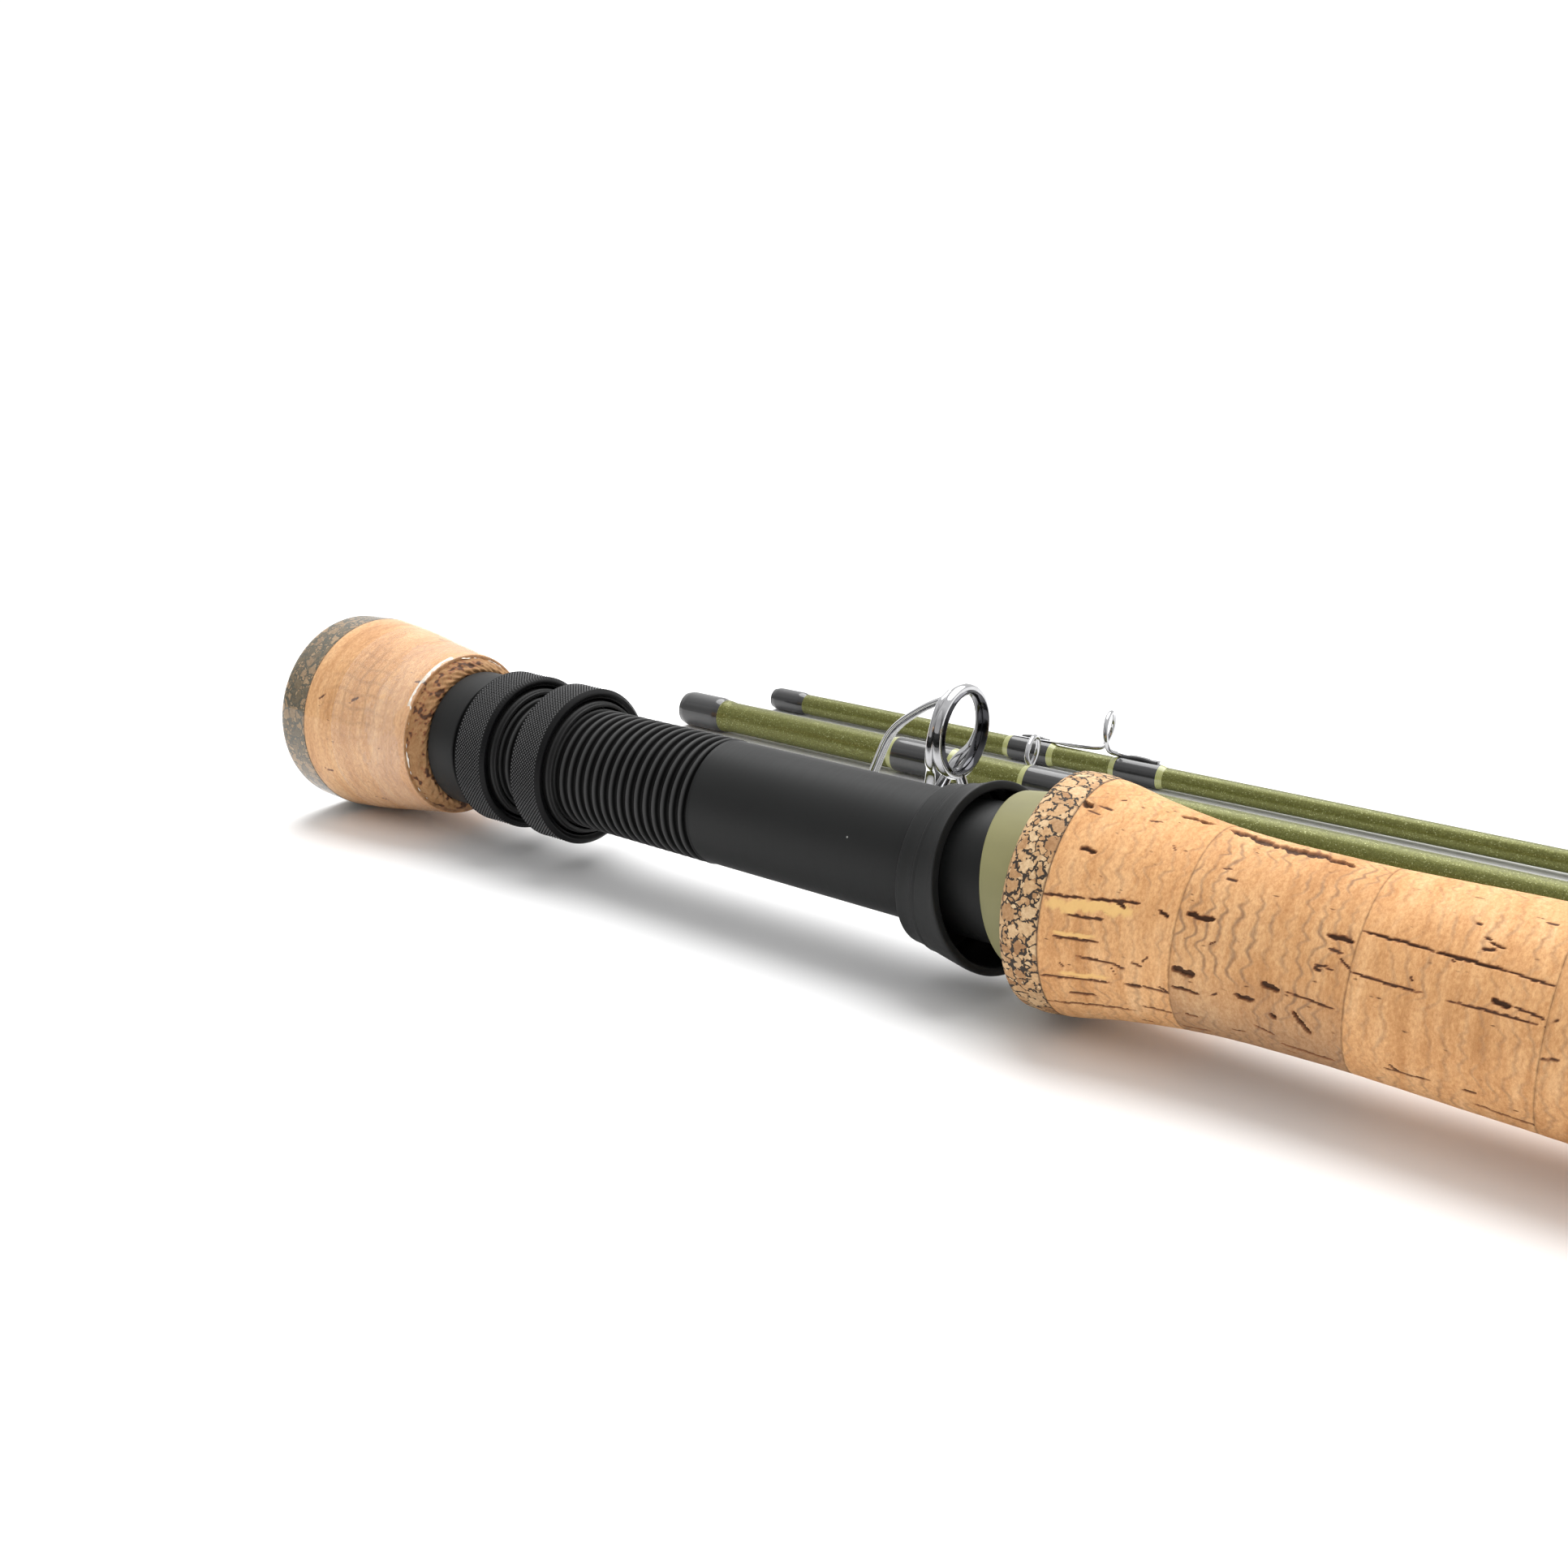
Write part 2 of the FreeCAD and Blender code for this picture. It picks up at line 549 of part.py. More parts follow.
check = node(turned("winding_check", [
    (0.0, BUTT_BLANK["thick"]),
    (0.0, "Dimensions.check_radius - 0.4"),
    ("Dimensions.check_length - 1", "Dimensions.check_radius - 0.4"),
    ("Dimensions.check_length", "Dimensions.check_radius - 1.4"),
    ("Dimensions.check_length", BUTT_BLANK["thick"]),
]))
place(check, "Dimensions.grip_start + Dimensions.grip_length")

# ---- Blanks --------------------------------------------------------------------------------

grip_front = dim("grip_start") + dim("grip_length") + dim("check_length")
butt_front = dim("cap_start") + dim("butt_section_length")
BLANK_REAR = -42.0
MALE_STEP = 2.0


def butt_blank_radius(station):
    """Outside radius of the butt section's blank at a station ahead of the grip."""
    run = butt_front - BUTT_BLANK["male_length"] - grip_front
    share = (station - grip_front) / run
    return BUTT_BLANK["thick"] + (BUTT_BLANK["thin"] - BUTT_BLANK["thick"]) * share


wall = dim("section_wall")
total = butt_front - BLANK_REAR
shoulder = total - BUTT_BLANK["male_length"]
butt_blank = node(turned("butt_blank", [
    (0.0, BUTT_BLANK["thick"] - 1.4),
    (0.0, BUTT_BLANK["thick"]),
    (grip_front - BLANK_REAR, BUTT_BLANK["thick"]),
    (shoulder - MALE_STEP, BUTT_BLANK["thin"]),
    (shoulder, BUTT_BLANK["male"]),
    (total, BUTT_BLANK["male"]),
    (total, BUTT_BLANK["male"] - wall),
    (shoulder, BUTT_BLANK["male"] - wall),
]))
place(butt_blank, BLANK_REAR)


def blank_radius(name, station):
    """Outside radius of a loose section's blank at a station."""
    data = SECTIONS[name]
    rear = data["start"] + data["bore_depth"]
    front = data["start"] + data["length"] - data["male_length"]
    if station <= rear:
        return data["thick"]
    share = (station - rear) / (front - rear)
    return data["thick"] + (data["thin"] - data["thick"]) * share


def wrap(label, radius_at, begin, end, away, height, thickness=WRAP_THICKNESS):
    """A thread wrap under epoxy, with run-out ends, round a tapered blank."""
    length = end - begin
    run_out = min(1.0, 0.2 * length)
    first, last = radius_at(begin), radius_at(end)
    piece = turned(label, [
        (0.0, first),
        (0.0, first + 0.35 * thickness),
        (run_out, first + thickness),
        (length - run_out, last + thickness),
        (length, last + 0.35 * thickness),
        (length, last),
    ])
    place(piece, begin, away, height)
    return piece


for name, data in SECTIONS.items():
    depth = data["bore_depth"]
    front = data["length"] - data["male_length"]
    core = max(data["thin"] - wall, 0.3)
    outline = [
        (0.0, data["bore"]),
        (0.0, data["ferrule"] - WRAP_THICKNESS),
        (data["wrap"] + 1.0, data["ferrule"] - WRAP_THICKNESS),
        (data["wrap"] + 2.5, data["thick"]),
        (depth, data["thick"]),
    ]
    if data["male"]:
        outline += [
            (front - MALE_STEP, data["thin"]),
            (front, data["male"]),
            (data["length"], data["male"]),
            (data["length"], data["male"] - wall),
            (front, data["male"] - wall),
            (depth + 4.0, data["bore"] - 0.35),
        ]
    else:
        outline += [
            (data["length"] - 4.0, data["thin"]),
            (data["length"] - 4.0, core),
            (depth + 4.0, data["bore"] - 0.35),
        ]
    outline.append((depth, data["bore"]))
    blank = node(turned(name + "_blank", outline))
    place(blank, data["start"], data["away"], data["ferrule"])

    def ferrule_radius(station, radius=data["ferrule"] - WRAP_THICKNESS):
        return radius

    node(wrap(name + "_ferrule_wrap", ferrule_radius, data["start"] + 0.4, data["start"] + data["wrap"],
              data["away"], data["ferrule"]))

# ---- Thread wraps that hold the guides -----------------------------------------------------

for name, spots in SNAKES.items():
    data = SECTIONS[name]
    members = []

    def radius_at(at, section=name):
        return blank_radius(section, at)

    for number, (station, loop) in enumerate(spots, start=1):
        for side in ("rear", "front"):
            begin = station + SNAKE_WRAPS[name][side]
            end = begin + SNAKE_WRAPS[name]["reach"]
            label = "%s_snake_%d_%s_wrap" % (name, number, side)
            members.append(wrap(label, radius_at, begin, end, data["away"], data["ferrule"]))
    group(name + "_snake_wraps", members)

# ---- Snake guides --------------------------------------------------------------------------


def snake(blank, loop, rear_foot, front_foot):
    """A snake guide: a foot on the blank, one open turn of wire, and the other foot."""
    base = blank + SNAKE_WIRE
    turn_steps = 8
    points = [FreeCAD.Vector(rear_foot, 0, base), FreeCAD.Vector(-SNAKE_REAR_BEND, 0, base)]
    for step in range(1, turn_steps):
        angle = 2 * math.pi * step / turn_steps
        points.append(FreeCAD.Vector(
            -SNAKE_ADVANCE + 2 * SNAKE_ADVANCE * step / turn_steps,
            loop * math.sin(angle),
            base + loop * (1 - math.cos(angle))))
    points.append(FreeCAD.Vector(SNAKE_ADVANCE, 0, base))
    points.append(FreeCAD.Vector(front_foot, 0, base))
    return bent_wire(points, SNAKE_WIRE)


for name, spots in SNAKES.items():
    data, wraps = SECTIONS[name], SNAKE_WRAPS[name]
    rear_foot = wraps["rear"] + SNAKE_FOOT_COVER
    front_foot = wraps["front"] + wraps["reach"] - SNAKE_FOOT_COVER
    for number, (station, loop) in enumerate(spots, start=1):
        guide = snake(blank_radius(name, station + rear_foot), loop, rear_foot, front_foot)
        node(shaped("%s_snake_%d" % (name, number), guide, station,
                    data["away"], data["ferrule"], -data["lean"]))

# ---- Stripping guides ----------------------------------------------------------------------


# Stripping guide frame: lengths in mm, then shares of the guide's own height, reach and radius.
HOLDER_WIDTH, HOLDER_WALL = 1.6, 0.8
STRUT_WIDTH, STRUT_THICK = 2.4, 0.9
STRUT_TOP, STRUT_REACH, FOOT_SHARE = 0.72, 0.58, 0.42
BOW_REACH, BOW_LIFT = 0.42, 0.16
LEG_RADIUS, STUB_RADIUS, STUB_REACH = 0.65, 0.6, 3.2
HIP_SIDE, HIP_DROP, SADDLE = 0.93, 0.36, 0.7
FOOT_WIDTH, FOOT_THICK, STRUT_PAD = 2.2, 0.7, 3.0


def guide_foot(start, end, radius):
    """A flat foot that lies along the blank between two stations."""
    corner = FreeCAD.Vector(start, -FOOT_WIDTH / 2, radius)
    return Part.makeBox(end - start, FOOT_WIDTH, FOOT_THICK, corner)


def strut(top, strut_foot, bow):
    """The arched rear strut of a stripping guide, between an upper and a lower arc."""
    side = FreeCAD.Vector(0, -STRUT_WIDTH / 2, 0)
    start = FreeCAD.Vector(-HOLDER_WIDTH / 4, 0, top) + side
    end = strut_foot + side
    under_start = start - FreeCAD.Vector(0, 0, 1.6 * STRUT_THICK)
    under_bow = bow + side + FreeCAD.Vector(STRUT_THICK, 0, -STRUT_THICK)
    under_end = end + FreeCAD.Vector(1.4 * STRUT_THICK, 0, 0)
    outline = Part.Wire([
        Part.Arc(start, bow + side, end).toShape(),
        Part.makeLine(end, under_end),
        Part.Arc(under_end, under_bow, under_start).toShape(),
        Part.makeLine(under_start, start),
    ])
    return Part.Face(outline).extrude(FreeCAD.Vector(0, STRUT_WIDTH, 0))


def ring_frame(data, radius):
    """Frame of a stripping guide: ring holder, arched rear strut, two legs and flat feet."""
    outer, height = data["outer"], data["height"]
    along = FreeCAD.Vector(1, 0, 0)
    holder_start = FreeCAD.Vector(-HOLDER_WIDTH / 2, 0, height)
    holder = Part.makeCylinder(outer, HOLDER_WIDTH, holder_start, along)
    holder = holder.cut(Part.makeCylinder(outer - HOLDER_WALL, HOLDER_WIDTH, holder_start, along))
    foot = radius + FOOT_THICK / 2
    top = height + STRUT_TOP * outer
    strut_foot = FreeCAD.Vector(-data["rear_foot"] * STRUT_REACH, 0, foot)
    bow = FreeCAD.Vector(BOW_REACH * strut_foot.x, 0, (top + foot) / 2 + BOW_LIFT * outer)
    pieces = [strut(top, strut_foot, bow)]
    saddle = -SADDLE * outer
    middle = outer - HOLDER_WALL / 2
    for hand in (-1, 1):
        hip = FreeCAD.Vector(-0.6, hand * HIP_SIDE * middle, height - HIP_DROP * middle)
        heel = FreeCAD.Vector(saddle, hand * STUB_RADIUS, foot + 0.2)
        pieces.append(bar(hip, heel, LEG_RADIUS))
    under_ring = FreeCAD.Vector(0, 0, height - middle)
    pieces.append(bar(under_ring, FreeCAD.Vector(STUB_REACH, 0, foot), STUB_RADIUS))
    pieces.append(guide_foot(saddle - STUB_RADIUS, data["front_foot"], radius))
    pieces.append(guide_foot(-data["rear_foot"], -data["rear_foot"] * (1 - FOOT_SHARE), radius))
    pieces.append(guide_foot(strut_foot.x - STRUT_PAD / 2, strut_foot.x + STRUT_PAD / 2, radius))
    return holder.fuse(pieces).removeSplitter()


def ring_insert(data):
    """Polished ring inside a stripping guide's holder."""
    half = 1.4
    line = FreeCAD.Vector(-half, 0, data["height"])
    along = FreeCAD.Vector(1, 0, 0)
    ring = Part.makeCylinder(data["outer"] - HOLDER_WALL, 2 * half, line, along)
    ring = ring.cut(Part.makeCylinder(data["hole"], 2 * half, line, along))
    return ring


for name, data in GUIDES.items():
    station = data["station"]
    if name == "butt":
        radius_at = butt_blank_radius
        away, height = 0.0, dim("butt_radius")
        lowest = (height - data["outer"]) / data["height"]
        roll = 180.0 + math.degrees(math.acos(lowest))
    else:
        def radius_at(at, section=name):
            return blank_radius(section, at)
        away, height, roll = SECTIONS[name]["away"], SECTIONS[name]["ferrule"], -SECTIONS[name]["lean"]
    frame = ring_frame(data, radius_at(station - data["rear_foot"]))
    node(shaped(name + "_guide_frame", frame, station, away, height, roll))
    node(shaped(name + "_guide_ring", ring_insert(data), station, away, height, roll))
    rear = (station - data["rear_foot"] - 1.5, station - 0.62 * data["rear_foot"])
    front = (station + 5.0, station + data["front_foot"] + 1.5)
    group(name + "_guide_wraps", [
        wrap("%s_guide_%s_wrap" % (name, side), radius_at, begin, end, away, height)
        for side, (begin, end) in (("rear", rear), ("front", front))])

# ---- Hook keeper ---------------------------------------------------------------------------

KEEPER = grip_front + 14.0
keeper_base = BUTT_BLANK["thick"] + 0.4
keeper = bent_wire([FreeCAD.Vector(x, 0, z) for x, z in (
    (-9.0, keeper_base), (-4.5, keeper_base), (-2.0, keeper_base + 3.4),
    (2.0, keeper_base + 3.4), (4.5, keeper_base), (9.0, keeper_base))], 0.4)
node(shaped("hook_keeper", keeper, KEEPER, 0.0, dim("butt_radius")))
group("hook_keeper_wraps", [
    wrap("hook_keeper_%s_wrap" % side, butt_blank_radius, KEEPER + begin, KEEPER + end, 0.0,
         "Dimensions.butt_radius")
    for side, begin, end in (("rear", -10.0, -4.6), ("front", 4.6, 10.0))])

# ---- Tip-top -------------------------------------------------------------------------------

tip = SECTIONS["tip"]
tip_end = tip["start"] + tip["length"]
tube = node(turned("tip_top_tube", [
    (0.0, tip["thin"] + 0.04),
    (0.0, tip["thin"] + 0.4),
    (8.5, tip["thin"] + 0.4),
    (8.5, tip["thin"] + 0.04),
]))
place(tube, tip_end - 12.5, tip["away"], tip["ferrule"])
LOOP_RADIUS = 2.6
loop_middle = FreeCAD.Vector(0.9, 0, tip["thin"] + 0.35 + LOOP_RADIUS)
loop_ring = Part.makeTorus(LOOP_RADIUS, 0.5, loop_middle, FreeCAD.Vector(1, 0, 0.25))
leg = bar(FreeCAD.Vector(-4.0, 0, tip["thin"] + 0.6), FreeCAD.Vector(0.9, 0, tip["thin"] + 0.5), 0.45)
node(shaped("tip_top_ring", loop_ring.fuse(leg), tip_end - 3.0, tip["away"], tip["ferrule"], -tip["lean"]))

# ---- Check and write -----------------------------------------------------------------------

doc.recompute()
for obj in doc.Objects:
    if "Invalid" in obj.State or "Error" in obj.State:
        raise RuntimeError("failed: %s %s" % (obj.Label, obj.State))
whole = FreeCAD.BoundBox()
for piece in nodes:
    shape = piece.Shape
    if shape.isNull() or not shape.isValid() or not shape.Solids:
        raise RuntimeError("bad shape: " + piece.Label)
    whole.add(shape.BoundBox)
print("pieces %d, x %.2f..%.2f y %.2f..%.2f z %.2f..%.2f" % (
    len(nodes), whole.XMin, whole.XMax, whole.YMin, whole.YMax, whole.ZMin, whole.ZMax))
os.makedirs("parts", exist_ok=True)
for piece in nodes:
    piece.Shape.exportStep("parts/%s.step" % piece.Label)
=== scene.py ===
import math
import random

import bpy
import numpy as np
from mathutils import Matrix, Vector, noise


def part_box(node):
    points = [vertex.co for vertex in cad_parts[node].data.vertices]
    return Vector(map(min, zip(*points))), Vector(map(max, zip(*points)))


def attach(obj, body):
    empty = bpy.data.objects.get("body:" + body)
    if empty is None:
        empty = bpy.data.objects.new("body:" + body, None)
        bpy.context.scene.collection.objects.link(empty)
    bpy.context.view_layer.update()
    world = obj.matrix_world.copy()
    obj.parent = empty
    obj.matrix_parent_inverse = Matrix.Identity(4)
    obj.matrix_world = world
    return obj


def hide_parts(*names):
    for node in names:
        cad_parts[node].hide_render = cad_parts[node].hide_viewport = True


# A fly rod, taken down.  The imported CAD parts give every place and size; this script gives
# each visible piece its fine shape and its material.  Lengths are metres unless a comment
# says otherwise.

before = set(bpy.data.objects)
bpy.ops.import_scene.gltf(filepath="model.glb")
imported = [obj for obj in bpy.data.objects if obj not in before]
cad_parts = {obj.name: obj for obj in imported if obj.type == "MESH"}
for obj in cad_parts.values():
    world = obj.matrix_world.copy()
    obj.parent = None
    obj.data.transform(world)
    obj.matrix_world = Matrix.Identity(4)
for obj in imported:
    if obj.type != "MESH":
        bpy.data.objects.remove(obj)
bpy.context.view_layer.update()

MM = 0.001
TURN = 2 * math.pi


# ---- Places read from the frame ----

def span(node):
    """Start and end of a node along the rod."""
    low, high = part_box(node)
    return low.x, high.x


def axis_of(node):
    """The y and z of the axis of a round node."""
    low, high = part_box(node)
    return (low.y + high.y) / 2, (low.z + high.z) / 2


def radius_of(node):
    low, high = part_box(node)
    return (high.y - low.y) / 2


BUTT_AXIS = BUTT_Y, BUTT_Z = axis_of("seat_tube")


# ---- Mesh helpers ----

def add_object(name, data):
    obj = bpy.data.objects.new(name, data)
    bpy.context.scene.collection.objects.link(obj)
    return obj


def mesh_object(name, verts, faces, material, sharp=35.0):
    """A smooth-shaded mesh with one material or a list, sharp from an angle in degrees."""
    mesh = bpy.data.meshes.new(name)
    mesh.from_pydata([tuple(v) for v in verts], [], faces)
    mesh.validate()
    mesh.polygons.foreach_set("use_smooth", [True] * len(mesh.polygons))
    mesh.set_sharp_from_angle(angle=math.radians(sharp))
    for one in material if isinstance(material, list) else [material]:
        mesh.materials.append(one)
    return add_object(name, mesh)


def soften(outline, size, steps=4):
    """An outline of (x, radius) with each inner corner rounded by a short curve."""
    out = [outline[0]]
    for before, corner, after in zip(outline, outline[1:], outline[2:]):
        p, q, s = (np.array(v, float) for v in (before, corner, after))
        a, b = (q + way / np.linalg.norm(way) * min(size, 0.45 * np.linalg.norm(way)) for way in (p - q, s - q))
        for step in range(steps + 1):
            t = step / steps
            out.append(tuple((1 - t) ** 2 * a + 2 * t * (1 - t) * q + t * t * b))
    out.append(outline[-1])
    return out


def divide(outline, longest):
    """Add points so that no run of an outline is longer than a given length."""
    out = [outline[0]]
    for (x0, r0), (x1, r1) in zip(outline, outline[1:]):
        count = max(1, math.ceil(math.hypot(x1 - x0, r1 - r0) / longest))
        for step in range(1, count + 1):
            t = step / count
            out.append((x0 + (x1 - x0) * t, r0 + (r1 - r0) * t))
    return out


def grid_faces(rows, columns, closed=False):
    """Quads between the rows of a grid that closes round its columns."""
    faces = []
    for i in range(rows if closed else rows - 1):
        near, far = i * columns, (i + 1) % rows * columns
        for j in range(columns):
            k = (j + 1) % columns
            faces.append((near + j, near + k, far + k, far + j))
    return faces


def paint(obj, name, values):
    """Store a number from 0 to 1 at each point for the material."""
    attribute = obj.data.attributes.new(name, "FLOAT", "POINT")
    attribute.data.foreach_set("value", np.clip(values, 0, 1).astype(np.float32).ravel())


def lathe(name, outline, segments, material, axis=BUTT_AXIS, shape=None, closed=False, sharp=35.0):
    """An outline of (x, radius) turned about an axis along X.

    A shape takes the points' x, radius and angle, and returns x, radius and what to paint.
    """
    x, r = (np.repeat(np.array(one)[:, None], segments, axis=1) for one in zip(*outline))
    a = np.repeat((np.arange(segments) * TURN / segments)[None, :], len(outline), axis=0)
    x, r, paints = (x, r, {}) if shape is None else shape(x, r, a)
    points = np.stack([x, axis[0] + r * np.sin(a), axis[1] + r * np.cos(a)], axis=2).reshape(-1, 3)
    obj = mesh_object(name, points, grid_faces(len(outline), segments, closed), material, sharp)
    for key, values in paints.items():
        paint(obj, key, values)
    return obj


def join(name, objects):
    """One object from several meshes that share their materials."""
    bpy.ops.object.select_all(action="DESELECT")
    for one in objects:
        one.select_set(True)
    bpy.context.view_layer.objects.active = objects[0]
    bpy.ops.object.join()
    objects[0].name = objects[0].data.name = name
    return objects[0]


def stands_for(obj, slot, *nodes, body="butt_section"):
    """A piece rides on a body and replaces CAD nodes; its slot is not used."""
    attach(obj, body)
    if nodes:
        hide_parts(*nodes)
    return obj


# ---- Material helpers ----

class Nodes:
    """A short way to write the nodes of a material, or of the world."""

    def __init__(self, name, owner=None, **sockets):
        self.owner = owner or bpy.data.materials.new(name)
        self.owner.use_nodes = True
        self.tree = self.owner.node_tree
        self.shader = next(n for n in self.tree.nodes if n.type in ("BSDF_PRINCIPLED", "BACKGROUND"))
        for key, value in sockets.items():
            self.shader.inputs[key.replace("_", " ")].default_value = value
        self.places = self.add("ShaderNodeTexCoord").outputs

    def add(self, kind, **settings):
        one = self.tree.nodes.new(kind)
        for key, value in settings.items():
            setattr(one, key, value)
        return one

    def link(self, source, target):
        self.tree.links.new(source, target)

    def split(self, space):
        """The X, Y and Z of a place."""
        one = self.add("ShaderNodeSeparateXYZ")
        self.link(self.places[space], one.inputs["Vector"])
        return one.outputs

    def scaled(self, scale, offset=(0, 0, 0)):
        """The place scaled by one number or by three."""
        mapping = self.add("ShaderNodeMapping")
        mapping.inputs["Scale"].default_value = scale if isinstance(scale, tuple) else (scale,) * 3
        mapping.inputs["Location"].default_value = offset
        self.link(self.places["Object"], mapping.inputs["Vector"])
        return mapping.outputs["Vector"]

    def texture(self, kind, vector, settings=(), **sockets):
        one = self.add("ShaderNodeTex" + kind, **dict(settings))
        for key, value in {"Scale": 1.0, **sockets}.items():
            one.inputs[key].default_value = value
        self.link(vector, one.inputs["Vector"])
        return one.outputs

    def noise(self, scale, detail=3.0, roughness=0.55, offset=(0, 0, 0)):
        return self.texture("Noise", self.scaled(scale, offset), Detail=detail, Roughness=roughness)["Fac"]

    def voronoi(self, scale, feature="F1", warp=None):
        vector = self.scaled(scale)
        if warp:
            amount, spread = warp
            shifted = self.add("ShaderNodeVectorMath", operation="MULTIPLY_ADD")
            shifted.inputs[1].default_value = (amount,) * 3
            self.link(self.texture("Noise", vector, Scale=spread)["Color"], shifted.inputs[0])
            self.link(vector, shifted.inputs[2])
            vector = shifted.outputs[0]
        return self.texture("Voronoi", vector, dict(feature=feature))

    def rgb(self, color):
        """The three shares of a color output."""
        one = self.add("ShaderNodeSeparateColor")
        self.link(color, one.inputs["Color"])
        return [one.outputs[name] for name in ("Red", "Green", "Blue")]

    def ramp(self, value, *stops):
        ramp = self.add("ShaderNodeValToRGB")
        elements = ramp.color_ramp.elements
        while len(elements) < len(stops):
            elements.new(0.5)
        for element, (position, color) in zip(elements, stops):
            element.position = position
            element.color = (*color, 1.0)
        self.link(value, ramp.inputs["Fac"])
        return ramp.outputs["Color"]

    def levels(self, value, low, high, first=0.0, last=1.0):
        """Map a value from low..high to first..last, clamped."""
        one = self.add("ShaderNodeMapRange")
        for key, number in (("From Min", low), ("From Max", high), ("To Min", first), ("To Max", last)):
            one.inputs[key].default_value = number
        self.link(value, one.inputs["Value"])
        return one.outputs["Result"]

    def math(self, operation, a, b=0.5):
        one = self.add("ShaderNodeMath", operation=operation)
        for socket, value in zip(one.inputs, (a, b)):
            if isinstance(value, (int, float)):
                socket.default_value = value
            else:
                self.link(value, socket)
        return one.outputs[0]

    def total(self, *shares):
        """The sum of (value, weight) pairs."""
        (first, weight), *rest = shares
        out = self.math("MULTIPLY", first, weight)
        for value, weight in rest:
            out = self.math("ADD", out, self.math("MULTIPLY", value, weight))
        return out

    def mix(self, factor, a, b, blend="MIX"):
        one = self.add("ShaderNodeMix", data_type="RGBA", blend_type=blend)
        for socket, value in ((one.inputs[0], factor), (one.inputs[6], a), (one.inputs[7], b)):
            if isinstance(value, (int, float)):
                socket.default_value = value
            elif isinstance(value, tuple):
                socket.default_value = (*value, 1.0)
            else:
                self.link(value, socket)
        return one.outputs[2]

    def attribute(self, name):
        return self.add("ShaderNodeAttribute", attribute_name=name).outputs["Fac"]

    def bump(self, height, distance, strength=1.0):
        one = self.add("ShaderNodeBump")
        one.inputs["Distance"].default_value = distance
        one.inputs["Strength"].default_value = strength
        self.link(height, one.inputs["Height"])
        return one.outputs["Normal"]

    def set(self, **outputs):
        for key, output in outputs.items():
            self.link(output, self.shader.inputs[key.replace("_", " ")])
        return self.owner


def cork_material(name, light=1.0, coat=0.0, seed=0.0, lines=0.55, grey=0.0):
    """Natural cork: wavy growth lines round the rod, fine grain, pores and brown slits."""
    m = Nodes(name, Roughness=0.75, Coat_Weight=coat, Coat_Roughness=0.06, Specular_IOR_Level=0.25)

    def lit(*color):
        return tuple(light * share for share in color)

    place = m.split("Object")
    zigzag = m.noise((100, 380, 380), 1.6, 0.5, offset=(seed, seed, 0))
    bands = m.noise((430, 75, 75), 4.0, 0.62, offset=(seed, 2, seed))
    broad = m.noise((95, 70, 70), offset=(seed * 2, 3, seed))
    grain = m.noise((2600, 1500, 1500), 4.0, 0.75)
    tone = m.ramp(m.total((bands, 0.6), (broad, 0.4)), (0.34, lit(0.53, 0.275, 0.110)),
                  (0.46, lit(0.67, 0.375, 0.165)), (0.56, lit(0.75, 0.450, 0.215)), (0.70, lit(0.82, 0.55, 0.30)))
    growth = m.math("SINE", m.total((place["X"], TURN / (1.8 * MM)), (zigzag, 17.0)))
    line = m.levels(growth, 0.0, 1.0)
    patchy = m.levels(m.noise((200, 170, 170), 2.0, offset=(4, seed, 1)), 0.36, 0.62)
    line = m.math("MULTIPLY", m.math("MULTIPLY", line, line), patchy)
    tone = m.mix(m.math("MULTIPLY", line, lines), tone, lit(0.33, 0.20, 0.115))
    if grey:
        low = m.levels(m.total((place["Z"], 1.0), (broad, 6 * MM)), 14 * MM, 22 * MM, grey, 0.0)
        tone = m.mix(low, tone, (0.34, 0.225, 0.14))
    tone = m.mix(m.levels(grain, 0.35, 0.70, 0.55, 0.0), tone, (0.50, 0.32, 0.20), "MULTIPLY")
    pores = m.voronoi((420, 1100, 1100), warp=(0.5, 1.3))
    spot = m.levels(pores["Distance"], 0.05, 0.17, 1.0, 0.0)
    spot = m.math("MULTIPLY", spot, m.levels(m.noise((230, 330, 330), 1.0, offset=(7, seed, 2)), 0.54, 0.62))
    tone = m.mix(spot, tone, (0.17, 0.075, 0.033))
    tone = m.mix(m.attribute("patch"), tone, (0.78, 0.50, 0.19))
    pit = m.attribute("pit")
    tone = m.mix(m.levels(pit, 0.02, 0.35, 0.0, 0.85), tone, (0.25, 0.095, 0.040))
    tone = m.mix(m.levels(pit, 0.35, 0.85, 0.0, 0.9), tone, (0.055, 0.027, 0.015))
    tone = m.mix(m.attribute("glue"), tone, (0.15, 0.075, 0.035))
    marks = m.math("MAXIMUM", spot, m.math("MULTIPLY", line, 0.6))
    height = m.total((grain, 0.6), (bands, 0.6), (marks, -1.0))
    return m.set(Base_Color=tone, Normal=m.bump(height, (0.02 if coat else 0.08) * MM))


